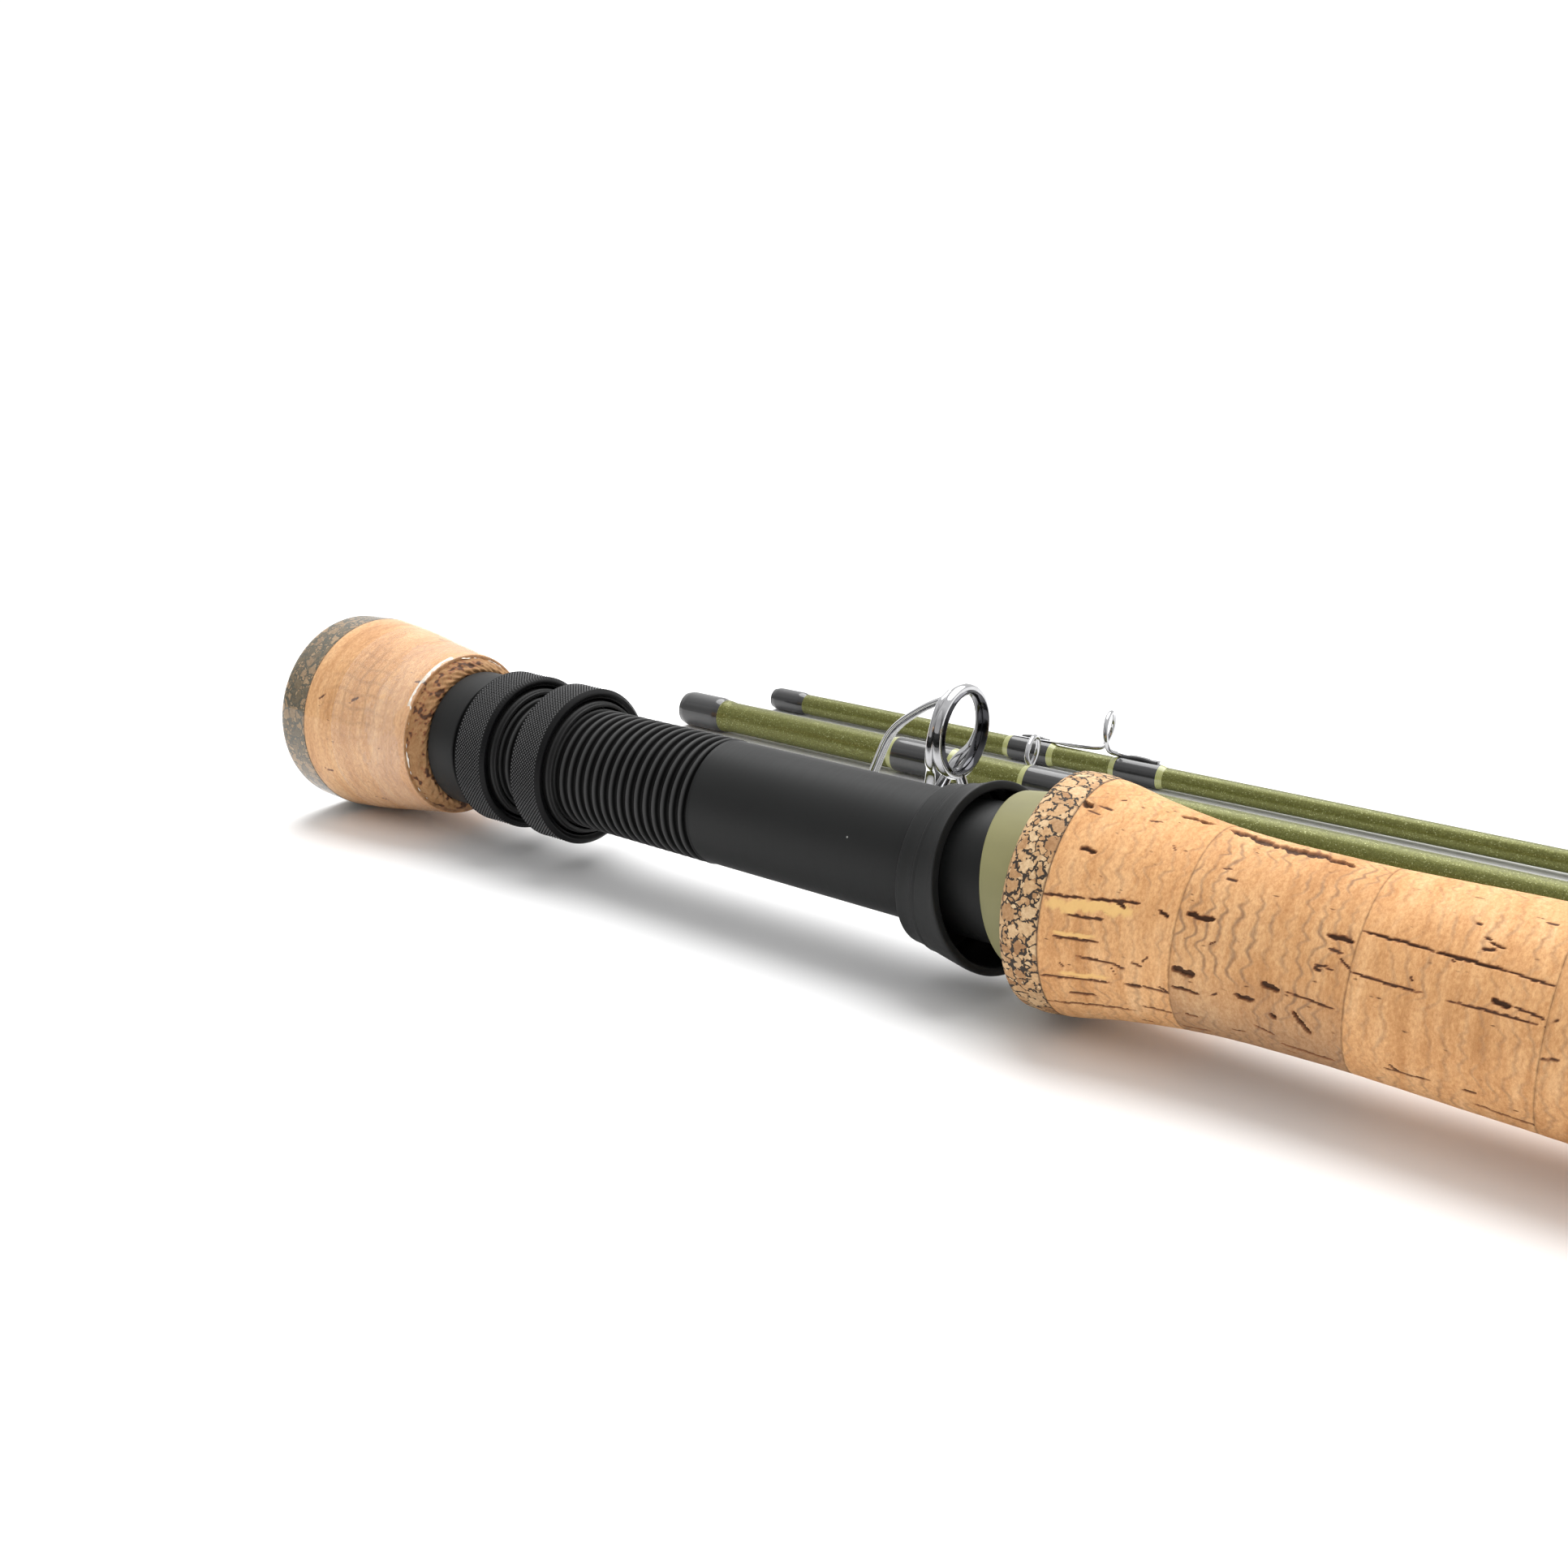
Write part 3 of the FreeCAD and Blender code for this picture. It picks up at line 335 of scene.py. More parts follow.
def burl_material(name, binder, chips, edge, coat=0.0):
    """Granulated cork: large and small chips of several browns in a dark rubbery binder."""
    m = Nodes(name, Roughness=0.66, Coat_Weight=coat, Coat_Roughness=0.07, Specular_IOR_Level=0.25)
    fine = m.noise(2200, roughness=0.7)
    tone, raised = binder, None
    for size, gap, least in ((0.42 * CHIP, 0.16, 0.04), (CHIP, edge, 0.25 * edge)):
        edges = m.voronoi(1 / size, "DISTANCE_TO_EDGE", warp=(0.6, 1.6))
        red, green, _ = m.rgb(m.voronoi(1 / size, warp=(0.6, 1.6))["Color"])
        chip = m.ramp(red, *chips)
        chip = m.mix(m.levels(fine, 0.35, 0.7, 0.5, 0.0), chip, (0.4, 0.24, 0.13), "MULTIPLY")
        width = m.math("ADD", m.math("MULTIPLY", green, gap), least)
        inside = m.levels(m.math("SUBTRACT", edges["Distance"], width), 0.0, 0.03)
        tone = m.mix(inside, tone, chip)
        raised = inside if raised is None else m.math("MAXIMUM", raised, inside)
    tone = m.mix(m.attribute("glue"), tone, (0.10, 0.06, 0.035))
    height = m.total((raised, 1.0), (fine, 0.35))
    return m.set(Base_Color=tone, Normal=m.bump(height, (0.03 if coat else 0.09) * MM))


def anodised_material(name, base, roughness, gloss=0.3, dust=0.0, crest=None):
    """Anodised aluminium: fine satin grain, turning marks, specks of dust and painted highlights on crests."""
    m = Nodes(name, Specular_IOR_Level=gloss)
    turning = m.noise((3800, 60, 60), 2.0)
    cloud = m.noise((60, 90, 90))
    grain = m.noise(9000, 1.0)
    tone = m.mix(m.levels(cloud, 0.3, 0.7), base, tuple(1.3 * c for c in base))
    # Painted highlight: a lighter colour mixed in where the mesh marks crests, for the light caught on thread ridges
    # and knurl tips.
    if crest:
        tone = m.mix(m.levels(m.attribute("crest"), 0.55, 1.0), tone, crest)
    if dust:
        speck = m.levels(m.voronoi(170)["Distance"], 0.02, 0.035, 1.0, 0.0)
        tone = m.mix(m.math("MULTIPLY", speck, dust), tone, (0.4, 0.4, 0.38))
    rough = m.levels(m.total((cloud, 1.0), (turning, 0.5)), 0.4, 1.1, roughness - 0.06, roughness + 0.08)
    height = m.total((turning, 0.6), (grain, 1.0))
    return m.set(Base_Color=tone, Roughness=rough, Normal=m.bump(height, 0.006 * MM, 0.6))


def blank_material(name):
    """Olive metallic paint: fine flakes under a satin clear coat."""
    m = Nodes(name, Metallic=0.35, Specular_IOR_Level=0.2, Coat_Weight=0.15, Coat_Roughness=0.2)
    red, green, blue = m.rgb(m.voronoi(5600)["Color"])
    tone = m.ramp(red, (0.0, (0.085, 0.088, 0.018)), (0.6, (0.120, 0.124, 0.028)),
                  (0.93, (0.160, 0.165, 0.048)), (1.0, (0.33, 0.34, 0.16)))
    tone = m.mix(m.levels(m.noise(160, 2.0), 0.3, 0.7, 0.0, 0.2), tone, (0.105, 0.108, 0.028))
    rough = m.levels(green, 0.0, 1.0, 0.30, 0.45)
    return m.set(Base_Color=tone, Roughness=rough, Normal=m.bump(blue, 0.01 * MM, 0.4))


def wrap_material(name, base, dark=0.45):
    """Thread under epoxy: close turns seen through a thick gloss coat."""
    m = Nodes(name, Roughness=0.4, Specular_IOR_Level=0.3, Coat_Weight=0.9, Coat_Roughness=0.05)
    threads = m.texture("Wave", m.scaled(1300), dict(wave_type="BANDS", bands_direction="X", wave_profile="SIN"),
                        Distortion=0.6, Detail=1.0)["Fac"]
    tone = m.mix(threads, tuple(dark * c for c in base), tuple(1.3 * c for c in base))
    return m.set(Base_Color=tone, Normal=m.bump(threads, 0.02 * MM, 0.35))


def metal_material(name, base, roughness):
    """Polished metal: faint clouds and fine scratches."""
    m = Nodes(name, Metallic=1.0)
    cloud = m.noise(700)
    lines = m.noise((300, 4500, 4500), 2.0)
    tone = m.mix(m.levels(cloud, 0.3, 0.7), base, tuple(0.88 * c for c in base))
    rough = m.levels(m.math("ADD", cloud, lines), 0.7, 1.3, roughness, roughness + 0.06)
    return m.set(Base_Color=tone, Roughness=rough, Normal=m.bump(lines, 0.003 * MM, 0.4))


CHIP = 1.9 * MM
CORK_BUTT = cork_material("cork_under_film", coat=0.55, seed=4.0, lines=0.22)
CORK_FACE = cork_material("cork_raw_face", light=0.55, seed=9.0, lines=0.3)
BURL_GRIP = burl_material("burl_cork_grip", (0.035, 0.026, 0.020), [
    (0.0, (0.40, 0.22, 0.10)), (0.25, (0.58, 0.36, 0.18)), (0.55, (0.68, 0.46, 0.25)),
    (0.8, (0.74, 0.55, 0.33)), (1.0, (0.46, 0.27, 0.13))], 0.11)
BURL_BUTT = burl_material("burl_cork_butt", (0.078, 0.072, 0.050), [
    (0.0, (0.12, 0.105, 0.07)), (0.35, (0.17, 0.135, 0.08)), (0.5, (0.30, 0.215, 0.12)),
    (0.8, (0.38, 0.27, 0.155)), (1.0, (0.24, 0.17, 0.10))], 0.17, coat=0.6)
BLACK = anodised_material("black_anodised", (0.0080, 0.0083, 0.0083), 0.5, 0.2, dust=0.7)
# The thread and the knurled rings take darker copies of the black anodising: painted shade for the self-shadowing in
# their grooves.
THREAD = anodised_material("black_thread_shaded", (0.0030, 0.0030, 0.0030), 0.5, 0.12, crest=(0.045, 0.045, 0.045))
BLACK_RING_SHADED = anodised_material("black_knurled", (0.0025, 0.0025, 0.0028), 0.42, 0.16, crest=(0.11, 0.11, 0.112))
NYLON = anodised_material("black_nylon", (0.009, 0.009, 0.009), 0.5)
OLIVE = anodised_material("olive_matte", (0.185, 0.175, 0.078), 0.55, gloss=0.35)
BLANK = blank_material("olive_blank")
WRAP = wrap_material("black_wrap", (0.010, 0.010, 0.011))
TRIM = wrap_material("trim_band", (0.32, 0.33, 0.12), dark=0.75)
CHROME = metal_material("chrome", (0.46, 0.46, 0.47), 0.06)
RING = metal_material("dark_ring", (0.055, 0.055, 0.06), 0.10)
# Painted highlight: a pale opaque strip where the clear shrink film's cut edge catches the light.
film_highlight = Nodes("film_edge_highlight", Roughness=0.25, Coat_Weight=0.6, Coat_Roughness=0.1)
FILM_HIGHLIGHT = film_highlight.set(Base_Color=film_highlight.ramp(film_highlight.noise(700), (0.35, (0.62, 0.52, 0.40)), (0.6, (0.86, 0.82, 0.74))))


# ---- Fighting butt and reel seat ----

def slits(seed, count, start, end, length, width, depth, spread=TURN, first=0.0):
    """Random cork slits along the rod: (x0, angle0, x1, angle1, half width, depth, seed).

    Length, width and depth are ranges in mm.
    """
    draw = random.Random(seed)
    out = []
    for _ in range(count):
        middle, angle = draw.uniform(start, end), first + draw.uniform(0, spread)
        half, lean = draw.uniform(*length) * MM / 2, draw.uniform(-0.04, 0.04)
        out.append((middle - half, angle - lean, middle + half, angle + lean,
                    draw.uniform(*width) * MM / 2, draw.uniform(*depth) * MM, draw.uniform(0, 100)))
    return out


def ripple(x, a, seed):
    """A smooth wobble between -1 and 1 over the surface of a turned piece."""
    return (np.sin(x * 900 + seed) * np.cos(a * 7 + seed * 1.7) * 0.5
            + np.sin(x * 2300 + a * 11 + seed * 2.3) * 0.35
            + np.sin(x * 5100 - a * 23 + seed * 3.1) * 0.25)


def pit_field(x, r, a, marks):
    """How deep each point sits in the slits, from 0 to 1, and the depth there."""
    pit = np.zeros_like(x)
    deep = np.zeros_like(x)
    for x0, a0, x1, a1, half_width, depth, seed in marks:
        middle, half_length = (x0 + x1) / 2, (x1 - x0) / 2
        near = np.abs(x[:, 0] - middle) < half_length * 1.5
        if not near.any():
            continue
        xs, rs, turn = x[near], r[near], a[near]
        along = (xs - middle) / half_length
        centre = (a0 + a1) / 2 + (a1 - a0) / 2 * along
        across = (np.mod(turn - centre + math.pi, TURN) - math.pi) * rs
        across = across + ripple(xs, turn, seed) * half_width * 0.6
        body = 1 - along ** 4 - (across / half_width) ** 2
        body = np.clip(body + 0.35 * ripple(xs * 2.7, turn * 3.0, seed + 5), 0, 1)
        level = np.clip(body * 1.8, 0, 1)
        pit[near] = np.maximum(pit[near], level)
        deep[near] = np.maximum(deep[near], level * depth)
    return pit, deep


GLUE_EDGE = 0.10 * MM


def cork_piece(name, outline, material, marks, segments, step, patches=(), film=None):
    """A turned cork ring with slits cut into it, filler patches and dark glued edges."""
    outline = divide(outline, step)
    x_first, x_last = min(outline)[0], max(outline)[0]

    def carve(x, r, a):
        pit, deep = pit_field(x, r, a, marks)
        patch, _ = pit_field(x, r, a, patches)
        edge = np.minimum(x - x_first, x_last - x)
        glue = np.clip(1 - edge / (1.6 * GLUE_EDGE), 0, 1) * (0.45 + 0.3 * ripple(x, a * 3, 1.0))
        if film:
            glue = np.maximum(glue, film(x, a))
        texture = ripple(x * 0.6, a, 3.0) * 0.02 * MM
        fade = np.clip(edge / (4 * GLUE_EDGE), 0, 1)
        r = r - deep * fade - (1 - fade) * 0.02 * MM + texture * fade
        return x, r, {"pit": pit, "patch": patch * 0.85, "glue": glue}

    return lathe(name, outline, segments, material, shape=carve, sharp=50.0)


def cad_outline(x_from, x_to, spots, start):
    """A smooth profile between two stations, through spots of (x from start, radius)."""
    xs, rs = np.array(spots).T
    xs = xs + start
    slopes = np.gradient(rs, xs)
    out = []
    for x in np.linspace(x_from, x_to, 25):
        i = int(np.clip(np.searchsorted(xs, x) - 1, 0, len(xs) - 2))
        width = xs[i + 1] - xs[i]
        t = (x - xs[i]) / width
        bend = width * t * (1 - t) * ((1 - t) * slopes[i] - t * slopes[i + 1])
        out.append((x, rs[i] + (rs[i + 1] - rs[i]) * t * t * (3 - 2 * t) + bend))
    return out


BUTT_R = radius_of("butt_burl_cap")
cap_x0, cap_x1 = span("butt_burl_cap")
cork_x0, cork_x1 = span("butt_cork")

cap_outline = soften([(cap_x0, 0.4 * MM), (cap_x0, BUTT_R - 0.3 * MM), (cap_x1 - 0.06 * MM, BUTT_R),
                      (cap_x1, BUTT_R - 0.06 * MM)], 1.6 * MM, 6)
cap = lathe("fighting_butt_cap", divide(cap_outline, 0.6 * MM), 160, BURL_BUTT)
stands_for(cap, "burl_cork", "butt_burl_cap")

FACE_DOME = 3.2 * MM
RIM_R, SHOULDER_R, FACE_R = 14.5 * MM, 13.7 * MM, 12.4 * MM
side_x1 = cork_x1 - FACE_DOME
SIDE = side_x1 - cork_x0
BUTT_SPOTS = [(0.0, BUTT_R - 0.04 * MM), (0.30 * SIDE, BUTT_R - 0.8 * MM),
              (0.62 * SIDE, BUTT_R - 2.0 * MM), (0.94 * SIDE, BUTT_R - 3.15 * MM)]
butt_outline = cad_outline(cork_x0 + 0.05 * MM, cork_x0 + 0.94 * SIDE, BUTT_SPOTS, cork_x0) + soften([
    (side_x1 - 0.3 * MM, RIM_R + 0.12 * MM), (side_x1, RIM_R), (side_x1, SHOULDER_R)], 0.3 * MM)
butt_marks = slits(21, 12, cork_x0, side_x1, (1.0, 3.5), (0.25, 0.6), (0.05, 0.12))


def film_lines(x, a):
    """Faint wrinkles of the film: a loose grid of fine lines on the near side."""
    off = (cork_x1 - x) / MM
    angle = np.degrees(np.mod(a + math.pi, TURN) - math.pi)
    across = np.mod(off / 2.4 + 0.15 * np.sin(0.15 * angle), 1) - 0.5
    along = np.mod(angle / 9 + 0.12 * np.sin(0.9 * off), 1) - 0.5
    line = np.maximum(np.exp(-(across * 10) ** 2), np.exp(-(along * 10) ** 2))
    return 0.30 * line * np.clip(1.2 - ((off - 15) / 8) ** 2 - ((angle + 55) / 38) ** 2, 0, 1)


butt_cork = cork_piece("fighting_butt_cork", butt_outline, CORK_BUTT, butt_marks, 360, 0.3 * MM, film=film_lines)
stands_for(butt_cork, "cork", "butt_cork")


def torn_arc(x, r, a):
    """The film's torn edge wanders along the rim, and sinks into the cork beyond a short arc, so that its painted
    highlight shows only along that arc.
    """
    torn = np.sin(a * 3 + 0.4) * 0.35 + np.sin(a * 11 + 1) * 0.25 + np.sin(a * 29) * 0.15 + np.sin(a * 67) * 0.1
    off = np.abs(np.mod(a - math.radians(-32) + math.pi, TURN) - math.pi)
    sunk = np.clip(off / math.radians(24) - 1, 0, 0.5) * 1.2 * MM
    return x + torn * 0.55 * MM * (x > side_x1 - 0.5 * MM), r - sunk, {}


# A pale strip on the film's torn edge: painted highlight where the edge catches the light.
film_edge_highlight = lathe("film_torn_edge_highlight", [
    (side_x1 - 0.9 * MM, RIM_R + 0.10 * MM), (side_x1 - 0.85 * MM, RIM_R + 0.27 * MM),
    (side_x1 - 0.2 * MM, RIM_R + 0.14 * MM), (side_x1 - 0.1 * MM, RIM_R + 0.02 * MM)],
    400, FILM_HIGHLIGHT, shape=torn_arc, closed=True, sharp=60)
stands_for(film_edge_highlight, "shrink_film")

collar_x0, collar_x1 = span("rear_collar")
COLLAR_R = radius_of("rear_collar")


def rough_face(x, r, a):
    """Torn cork grains on the domed face round the collar."""
    lumps = np.sin(a * 31 + r * 4000) * np.sin(a * 17 - r * 2600 + 1.3) + 0.6 * np.sin(a * 53 + r * 7000)
    return x + lumps * 0.13 * MM, r + lumps * 0.05 * MM, {}


face = lathe("fighting_butt_face", divide(soften([
    (side_x1 - 0.3 * MM, RIM_R - 0.5 * MM), (side_x1 + 0.3 * MM, SHOULDER_R + 0.1 * MM),
    (side_x1 + 0.55 * FACE_DOME, SHOULDER_R - 0.25 * MM), (cork_x1 - 0.15 * MM, FACE_R),
    (cork_x1 - 0.5 * MM, COLLAR_R - 0.6 * MM)], 0.5 * MM), 0.15 * MM),
    360, CORK_FACE, shape=rough_face)
# Dark voids scattered over the raw face.
voids = [noise.noise(v.co * 520) + 0.6 * noise.noise(v.co * 1500) for v in face.data.vertices]
paint(face, "pit", (np.array(voids) - 0.22) * 4)
stands_for(face, "cork")

seat_x0, seat_x1 = span("seat_tube")
SEAT_R = 10.0 * MM
CREST_R = radius_of("seat_tube")
ROOT_R = CREST_R - 0.85 * MM
PITCH = 1.85 * MM
THREAD_X0, THREAD_X1 = seat_x0 + 7.25 * MM, seat_x0 + 58.2 * MM
ROWS = 520
CREST_HALF, SLOPE = 0.2 * MM, 0.4 * MM
ROUND = 144

seat_outline = soften([(seat_x0, 9.4 * MM), (seat_x0, SEAT_R - 0.5 * MM), (THREAD_X0, SEAT_R - 0.5 * MM)], 0.2 * MM)
seat_outline += [(THREAD_X0 + (THREAD_X1 - THREAD_X0) * i / ROWS, CREST_R) for i in range(1, ROWS + 1)]
seat_outline += soften([(THREAD_X1 + 0.01 * MM, CREST_R), (THREAD_X1 + 0.25 * MM, SEAT_R),
                        (seat_x1, SEAT_R), (seat_x1, SEAT_R - 1.3 * MM)], 0.15 * MM)


def seat_shape(x, r, a):
    """Cut the thread: flat valleys and narrow crests that fade out at both ends, with a painted highlight on the
    crests.
    """
    inside = (x > THREAD_X0) & (x < THREAD_X1)
    phase = np.mod((x - THREAD_X0) / PITCH - a / TURN, 1)
    away = np.minimum(phase, 1 - phase) * PITCH
    ridge = np.clip((CREST_HALF + SLOPE - away) / SLOPE, 0, 1)
    ridge = ridge * ridge * (3 - 2 * ridge)
    fade = np.clip((x - THREAD_X0) / (0.5 * MM), 0, 1) * np.clip((THREAD_X1 - x) / (0.5 * MM), 0, 1)
    cut = r + (ROOT_R + (CREST_R - ROOT_R) * ridge - r) * fade
    # The mask of painted highlight on the thread crests; the plain barrel beside the thread gets a fixed part of it.
    return x, np.where(inside, cut, r), {"crest": np.where(inside, ridge, 0.75)}


seat = lathe("seat_barrel_and_thread", seat_outline, ROUND, [BLACK, THREAD], shape=seat_shape, sharp=60)
for polygon in seat.data.polygons:
    polygon.material_index = int(polygon.center.x < THREAD_X1)
stands_for(seat, "black_anodised", "seat_tube")

collar = lathe("seat_rear_collar", soften([
    (collar_x0, COLLAR_R - 2 * MM), (collar_x0, COLLAR_R), (collar_x1, COLLAR_R),
    (collar_x1, COLLAR_R - 1.9 * MM)], 0.35 * MM), ROUND, BLACK)
stands_for(collar, "black_anodised", "rear_collar")

BORE, LIP, EDGE = 10.5 * MM, 11.8 * MM, 0.6 * MM
DIAMONDS, DIAMOND_LENGTH, DIAMOND_DEPTH = 132, 0.62 * MM, 0.28 * MM


def lock_ring(end):
    """A lock ring with a fine diamond knurl cut into its rim and a stepped front face."""
    node = end + "_lock_ring"
    x0, x1 = span(node)
    outer = radius_of(node)
    outline = soften([
        (x0 + 0.9 * MM, BORE), (x0, BORE + 0.3 * MM), (x0, LIP), (x0 + 0.35 * MM, LIP + 0.25 * MM),
        (x0 + 0.05 * MM, LIP + 0.7 * MM), (x0 + 0.05 * MM, outer - EDGE), (x0 + EDGE, outer)],
        0.12 * MM, 2)
    rows = int((x1 - x0 - 2 * EDGE) / DIAMOND_LENGTH * 7)
    outline += [(x0 + EDGE + (x1 - x0 - 2 * EDGE) * i / rows, outer) for i in range(1, rows)]
    outline += soften([
        (x1 - EDGE, outer), (x1 - 0.05 * MM, outer - EDGE), (x1 - 0.05 * MM, LIP + 0.7 * MM),
        (x1 - 0.4 * MM, LIP + 0.25 * MM), (x1 - 0.4 * MM, LIP), (x1 - 2.0 * MM, LIP - 0.05 * MM)],
        0.12 * MM, 2)

    def knurl(x, r, a):
        on = np.clip((x - x0 - EDGE) / (0.2 * MM), 0, 1) * np.clip((x1 - EDGE - x) / (0.2 * MM), 0, 1)
        around, along = a * DIAMONDS / TURN, x / DIAMOND_LENGTH
        one, two = (np.abs(np.mod(turn, 1) - 0.5) * 2 for turn in (around + along, around - along))
        cut = np.clip(np.maximum(one, two) - 0.45, 0, 1) / 0.55
        # The mask of painted highlight on the uncut diamond tops of the knurl.
        return x, r - cut * on * DIAMOND_DEPTH, {"crest": on * (1 - cut) * (r > LIP)}

    ring = lathe(end + "_knurled_ring", outline, DIAMONDS * 6, BLACK_RING_SHADED, shape=knurl, sharp=60)
    stands_for(ring, "black_knurled", node, body=end + "_ring")


def thrust_sleeve(end):
    node = end + "_thrust_sleeve"
    x0, x1 = span(node)
    outer = radius_of(node)
    sleeve = lathe(end + "_ring_sleeve", soften([
        (x0, BORE), (x0, outer), (x1 - 0.9 * MM, outer), (x1 - 0.7 * MM, outer - 0.25 * MM),
        (x1, outer - 0.3 * MM), (x1, BORE), (x0 + 0.5 * MM, HOOD_BORE)], 0.12 * MM, 3), ROUND, NYLON)
    stands_for(sleeve, "nylon", node, body=end + "_ring_carrier")


HOOD_LENGTH, HOOD_SHOULDER, HOOD_WALL = 10.1 * MM, 1.8 * MM, 2.6 * MM
HOOD_BACK_R, HOOD_RIM_R, HOOD_IN_R, HOOD_BORE = 12.0 * MM, 13.8 * MM, 12.5 * MM, 10.45 * MM
HOOD_DROP = 0.9 * MM
SLANT_PITCH, HOOD_YAW = math.radians(11), math.radians(10)
for end in ("rear", "front"):
    lock_ring(end)
    thrust_sleeve(end)

grip_x0 = span("grip_burl_ring")[0]
grip_x1 = span("grip_cork_8")[1]


def slant(radius, a, yaw):
    """How far forward a slanted rim stands at a point, low side and far side ahead."""
    return radius * np.sin(a) * math.tan(yaw) - radius * np.cos(a) * math.tan(SLANT_PITCH)


hood_x0 = span("sliding_hood")[0]
hood_x1 = hood_x0 + HOOD_LENGTH
hood_flat = soften([
    (hood_x0 + 0.6 * MM, HOOD_BORE), (hood_x0, HOOD_BORE + 0.3 * MM), (hood_x0, HOOD_BACK_R - 0.2 * MM),
    (hood_x0 + HOOD_SHOULDER, HOOD_BACK_R), (hood_x1 - 0.8 * MM, HOOD_RIM_R), (hood_x1, HOOD_RIM_R),
    (hood_x1, HOOD_IN_R), (hood_x0 + HOOD_WALL + 0.4 * MM, HOOD_IN_R), (hood_x0 + HOOD_WALL, HOOD_BORE),
    (hood_x0 + 1.0 * MM, HOOD_BORE)], 0.5 * MM, 5)


def hood_shape(x, r, a):
    ahead = np.clip((x - hood_x0 - HOOD_SHOULDER) / (HOOD_LENGTH - HOOD_SHOULDER), 0, 1)
    off_centre = np.clip((r - HOOD_BORE) / (HOOD_BACK_R - 0.4 * MM - HOOD_BORE), 0, 1)
    dropped = r - HOOD_DROP * np.cos(a) * off_centre
    return x + slant(dropped, a, HOOD_YAW) * ahead * ahead, dropped, {}


hood = lathe("sliding_hood_shell", divide(hood_flat, 0.8 * MM), ROUND, BLACK, shape=hood_shape, closed=True)
stands_for(hood, "black_anodised", "sliding_hood", body="hood")

fixed_x1 = span("fixed_hood")[1]
FIXED_REAR_R, FIXED_R, FIXED_IN_R, FIXED_BORE = 12.3 * MM, 13.2 * MM, 11.6 * MM, 10.05 * MM
FIXED_MIDDLE = fixed_x1 - 12.5 * MM
FIXED_FLOOR = FIXED_MIDDLE + 8.5 * MM
fixed_flat = soften([
    (FIXED_FLOOR, FIXED_IN_R), (FIXED_MIDDLE, FIXED_IN_R), (FIXED_MIDDLE, FIXED_REAR_R), (grip_x0, FIXED_R),
    (fixed_x1, FIXED_R), (fixed_x1, FIXED_BORE), (FIXED_FLOOR, FIXED_BORE)], 0.3 * MM, 4)


def fixed_shape(x, r, a):
    behind = np.clip((grip_x0 - x) / (grip_x0 - FIXED_MIDDLE), 0, 1)
    return x + slant(r, a, 0.0) * behind, r, {}


fixed = lathe("fixed_hood_ring", divide(fixed_flat, 0.6 * MM), ROUND, OLIVE, shape=fixed_shape, closed=True)
stands_for(fixed, "olive_matte", "fixed_hood")


# ---- Grip ----

GRIP = grip_x1 - grip_x0
GRIP_SPOTS = [(x * MM, r * MM) for x, r in (
    (0.0, 14.75), (0.9, 16.15), (3.0, 16.75), (6.6, 16.5), (14.0, 15.0), (24.5, 13.5), (40.0, 12.9))]
GRIP_SPOTS += [(share * GRIP, r * MM) for share, r in (
    (0.34, 13.25), (0.50, 13.8), (0.68, 13.0), (0.77, 12.9), (0.86, 14.3), (0.92, 15.2), (0.965, 13.2), (1, 8.4))]
GRIP_INSIDE = 6.25 * MM

# Large slits and filler on the near side: start and end along the grip and round it
# (mm and degrees from the top, towards the far side), and width in mm.
NEAR_SLITS = (
    (6.4, 8.1, -20, -22, 1.0), (9.2, 11.5, -45, -45, 0.7), (17.8, 22.1, 0, 4, 1.1),
    (23.8, 31.2, 5, 1, 2.2), (30.6, 37.4, 2, 1, 2.4), (36.9, 40.7, 0, -1, 1.3),
    (6.2, 12.2, -70, -67, 0.35), (12.0, 18.7, -67, -63, 0.45), (9.8, 14.9, -77, -75, 0.35),
    (15.7, 17.0, -65, -67, 0.6), (8.4, 14.6, -88, -87, 0.35), (11.6, 16.8, -96, -97, 0.3),
    (6.3, 16.2, -110, -109, 0.35), (17.8, 20.1, -108, -108, 0.5), (19.9, 23.7, -107, -109, 0.3),
    (10.0, 13.7, -120, -120, 0.5), (6.2, 19.1, -129, -129, 0.5), (19.4, 23.6, -123, -125, 0.35),
    (24.4, 28.1, -61, -62, 0.8), (21.1, 22.5, -64, -66, 0.6), (31.7, 34.4, -99, -100, 0.7),
    (36.2, 37.1, -106, -108, 0.8), (23.7, 26.9, -92, -94, 1.0), (23.7, 27.4, -103, -105, 0.45),
    (25.1, 26.9, -123, -123, 0.4), (23.8, 27.8, -140, -139, 0.7), (34.9, 37.4, -89, -89, 0.8),
    (37.7, 44.5, -89, -92, 0.3), (38.9, 41.3, -100, -111, 0.9), (37.1, 44.0, -129, -132, 0.6),
    (34.1, 36.8, -117, -122, 0.35), (41.2, 44.7, -53, -55, 0.7), (44.9, 53.6, -47, -49, 0.4),
    (53.2, 61.5, -49, -50, 0.5), (61.1, 66.7, -50, -52, 0.3), (44.6, 53.6, -70, -71, 0.3),
    (55.8, 66.7, -71, -71, 0.28), (60.4, 62.9, -65, -67, 0.75), (62.9, 66.4, -66, -68, 0.3),
    (66.7, 69.4, -92, -92, 0.4), (49.4, 55.5, -122, -120, 0.3), (58.8, 60.4, -119, -119, 0.4),
    (59.9, 67.3, -130, -133, 0.6))
NEAR_FILLER = ((6.6, 18.8, -74, -67, 1.9), (8.3, 14.2, -86, -85, 0.6), (9.0, 16.0, -107, -106, 0.7))


def placed(marks, x0, x1):
    """The marks whose middle lies in a ring, in metres and radians, with a depth."""
    out = []
    for start, end, turn0, turn1, width in marks:
        if x0 < grip_x0 + (start + end) / 2 * MM < x1:
            depth = min(0.55, 0.6 * width) * MM
            out.append((grip_x0 + start * MM, math.radians(turn0), grip_x0 + end * MM, math.radians(turn1),
                        width / 2 * MM, depth, 7 * start))
    return out


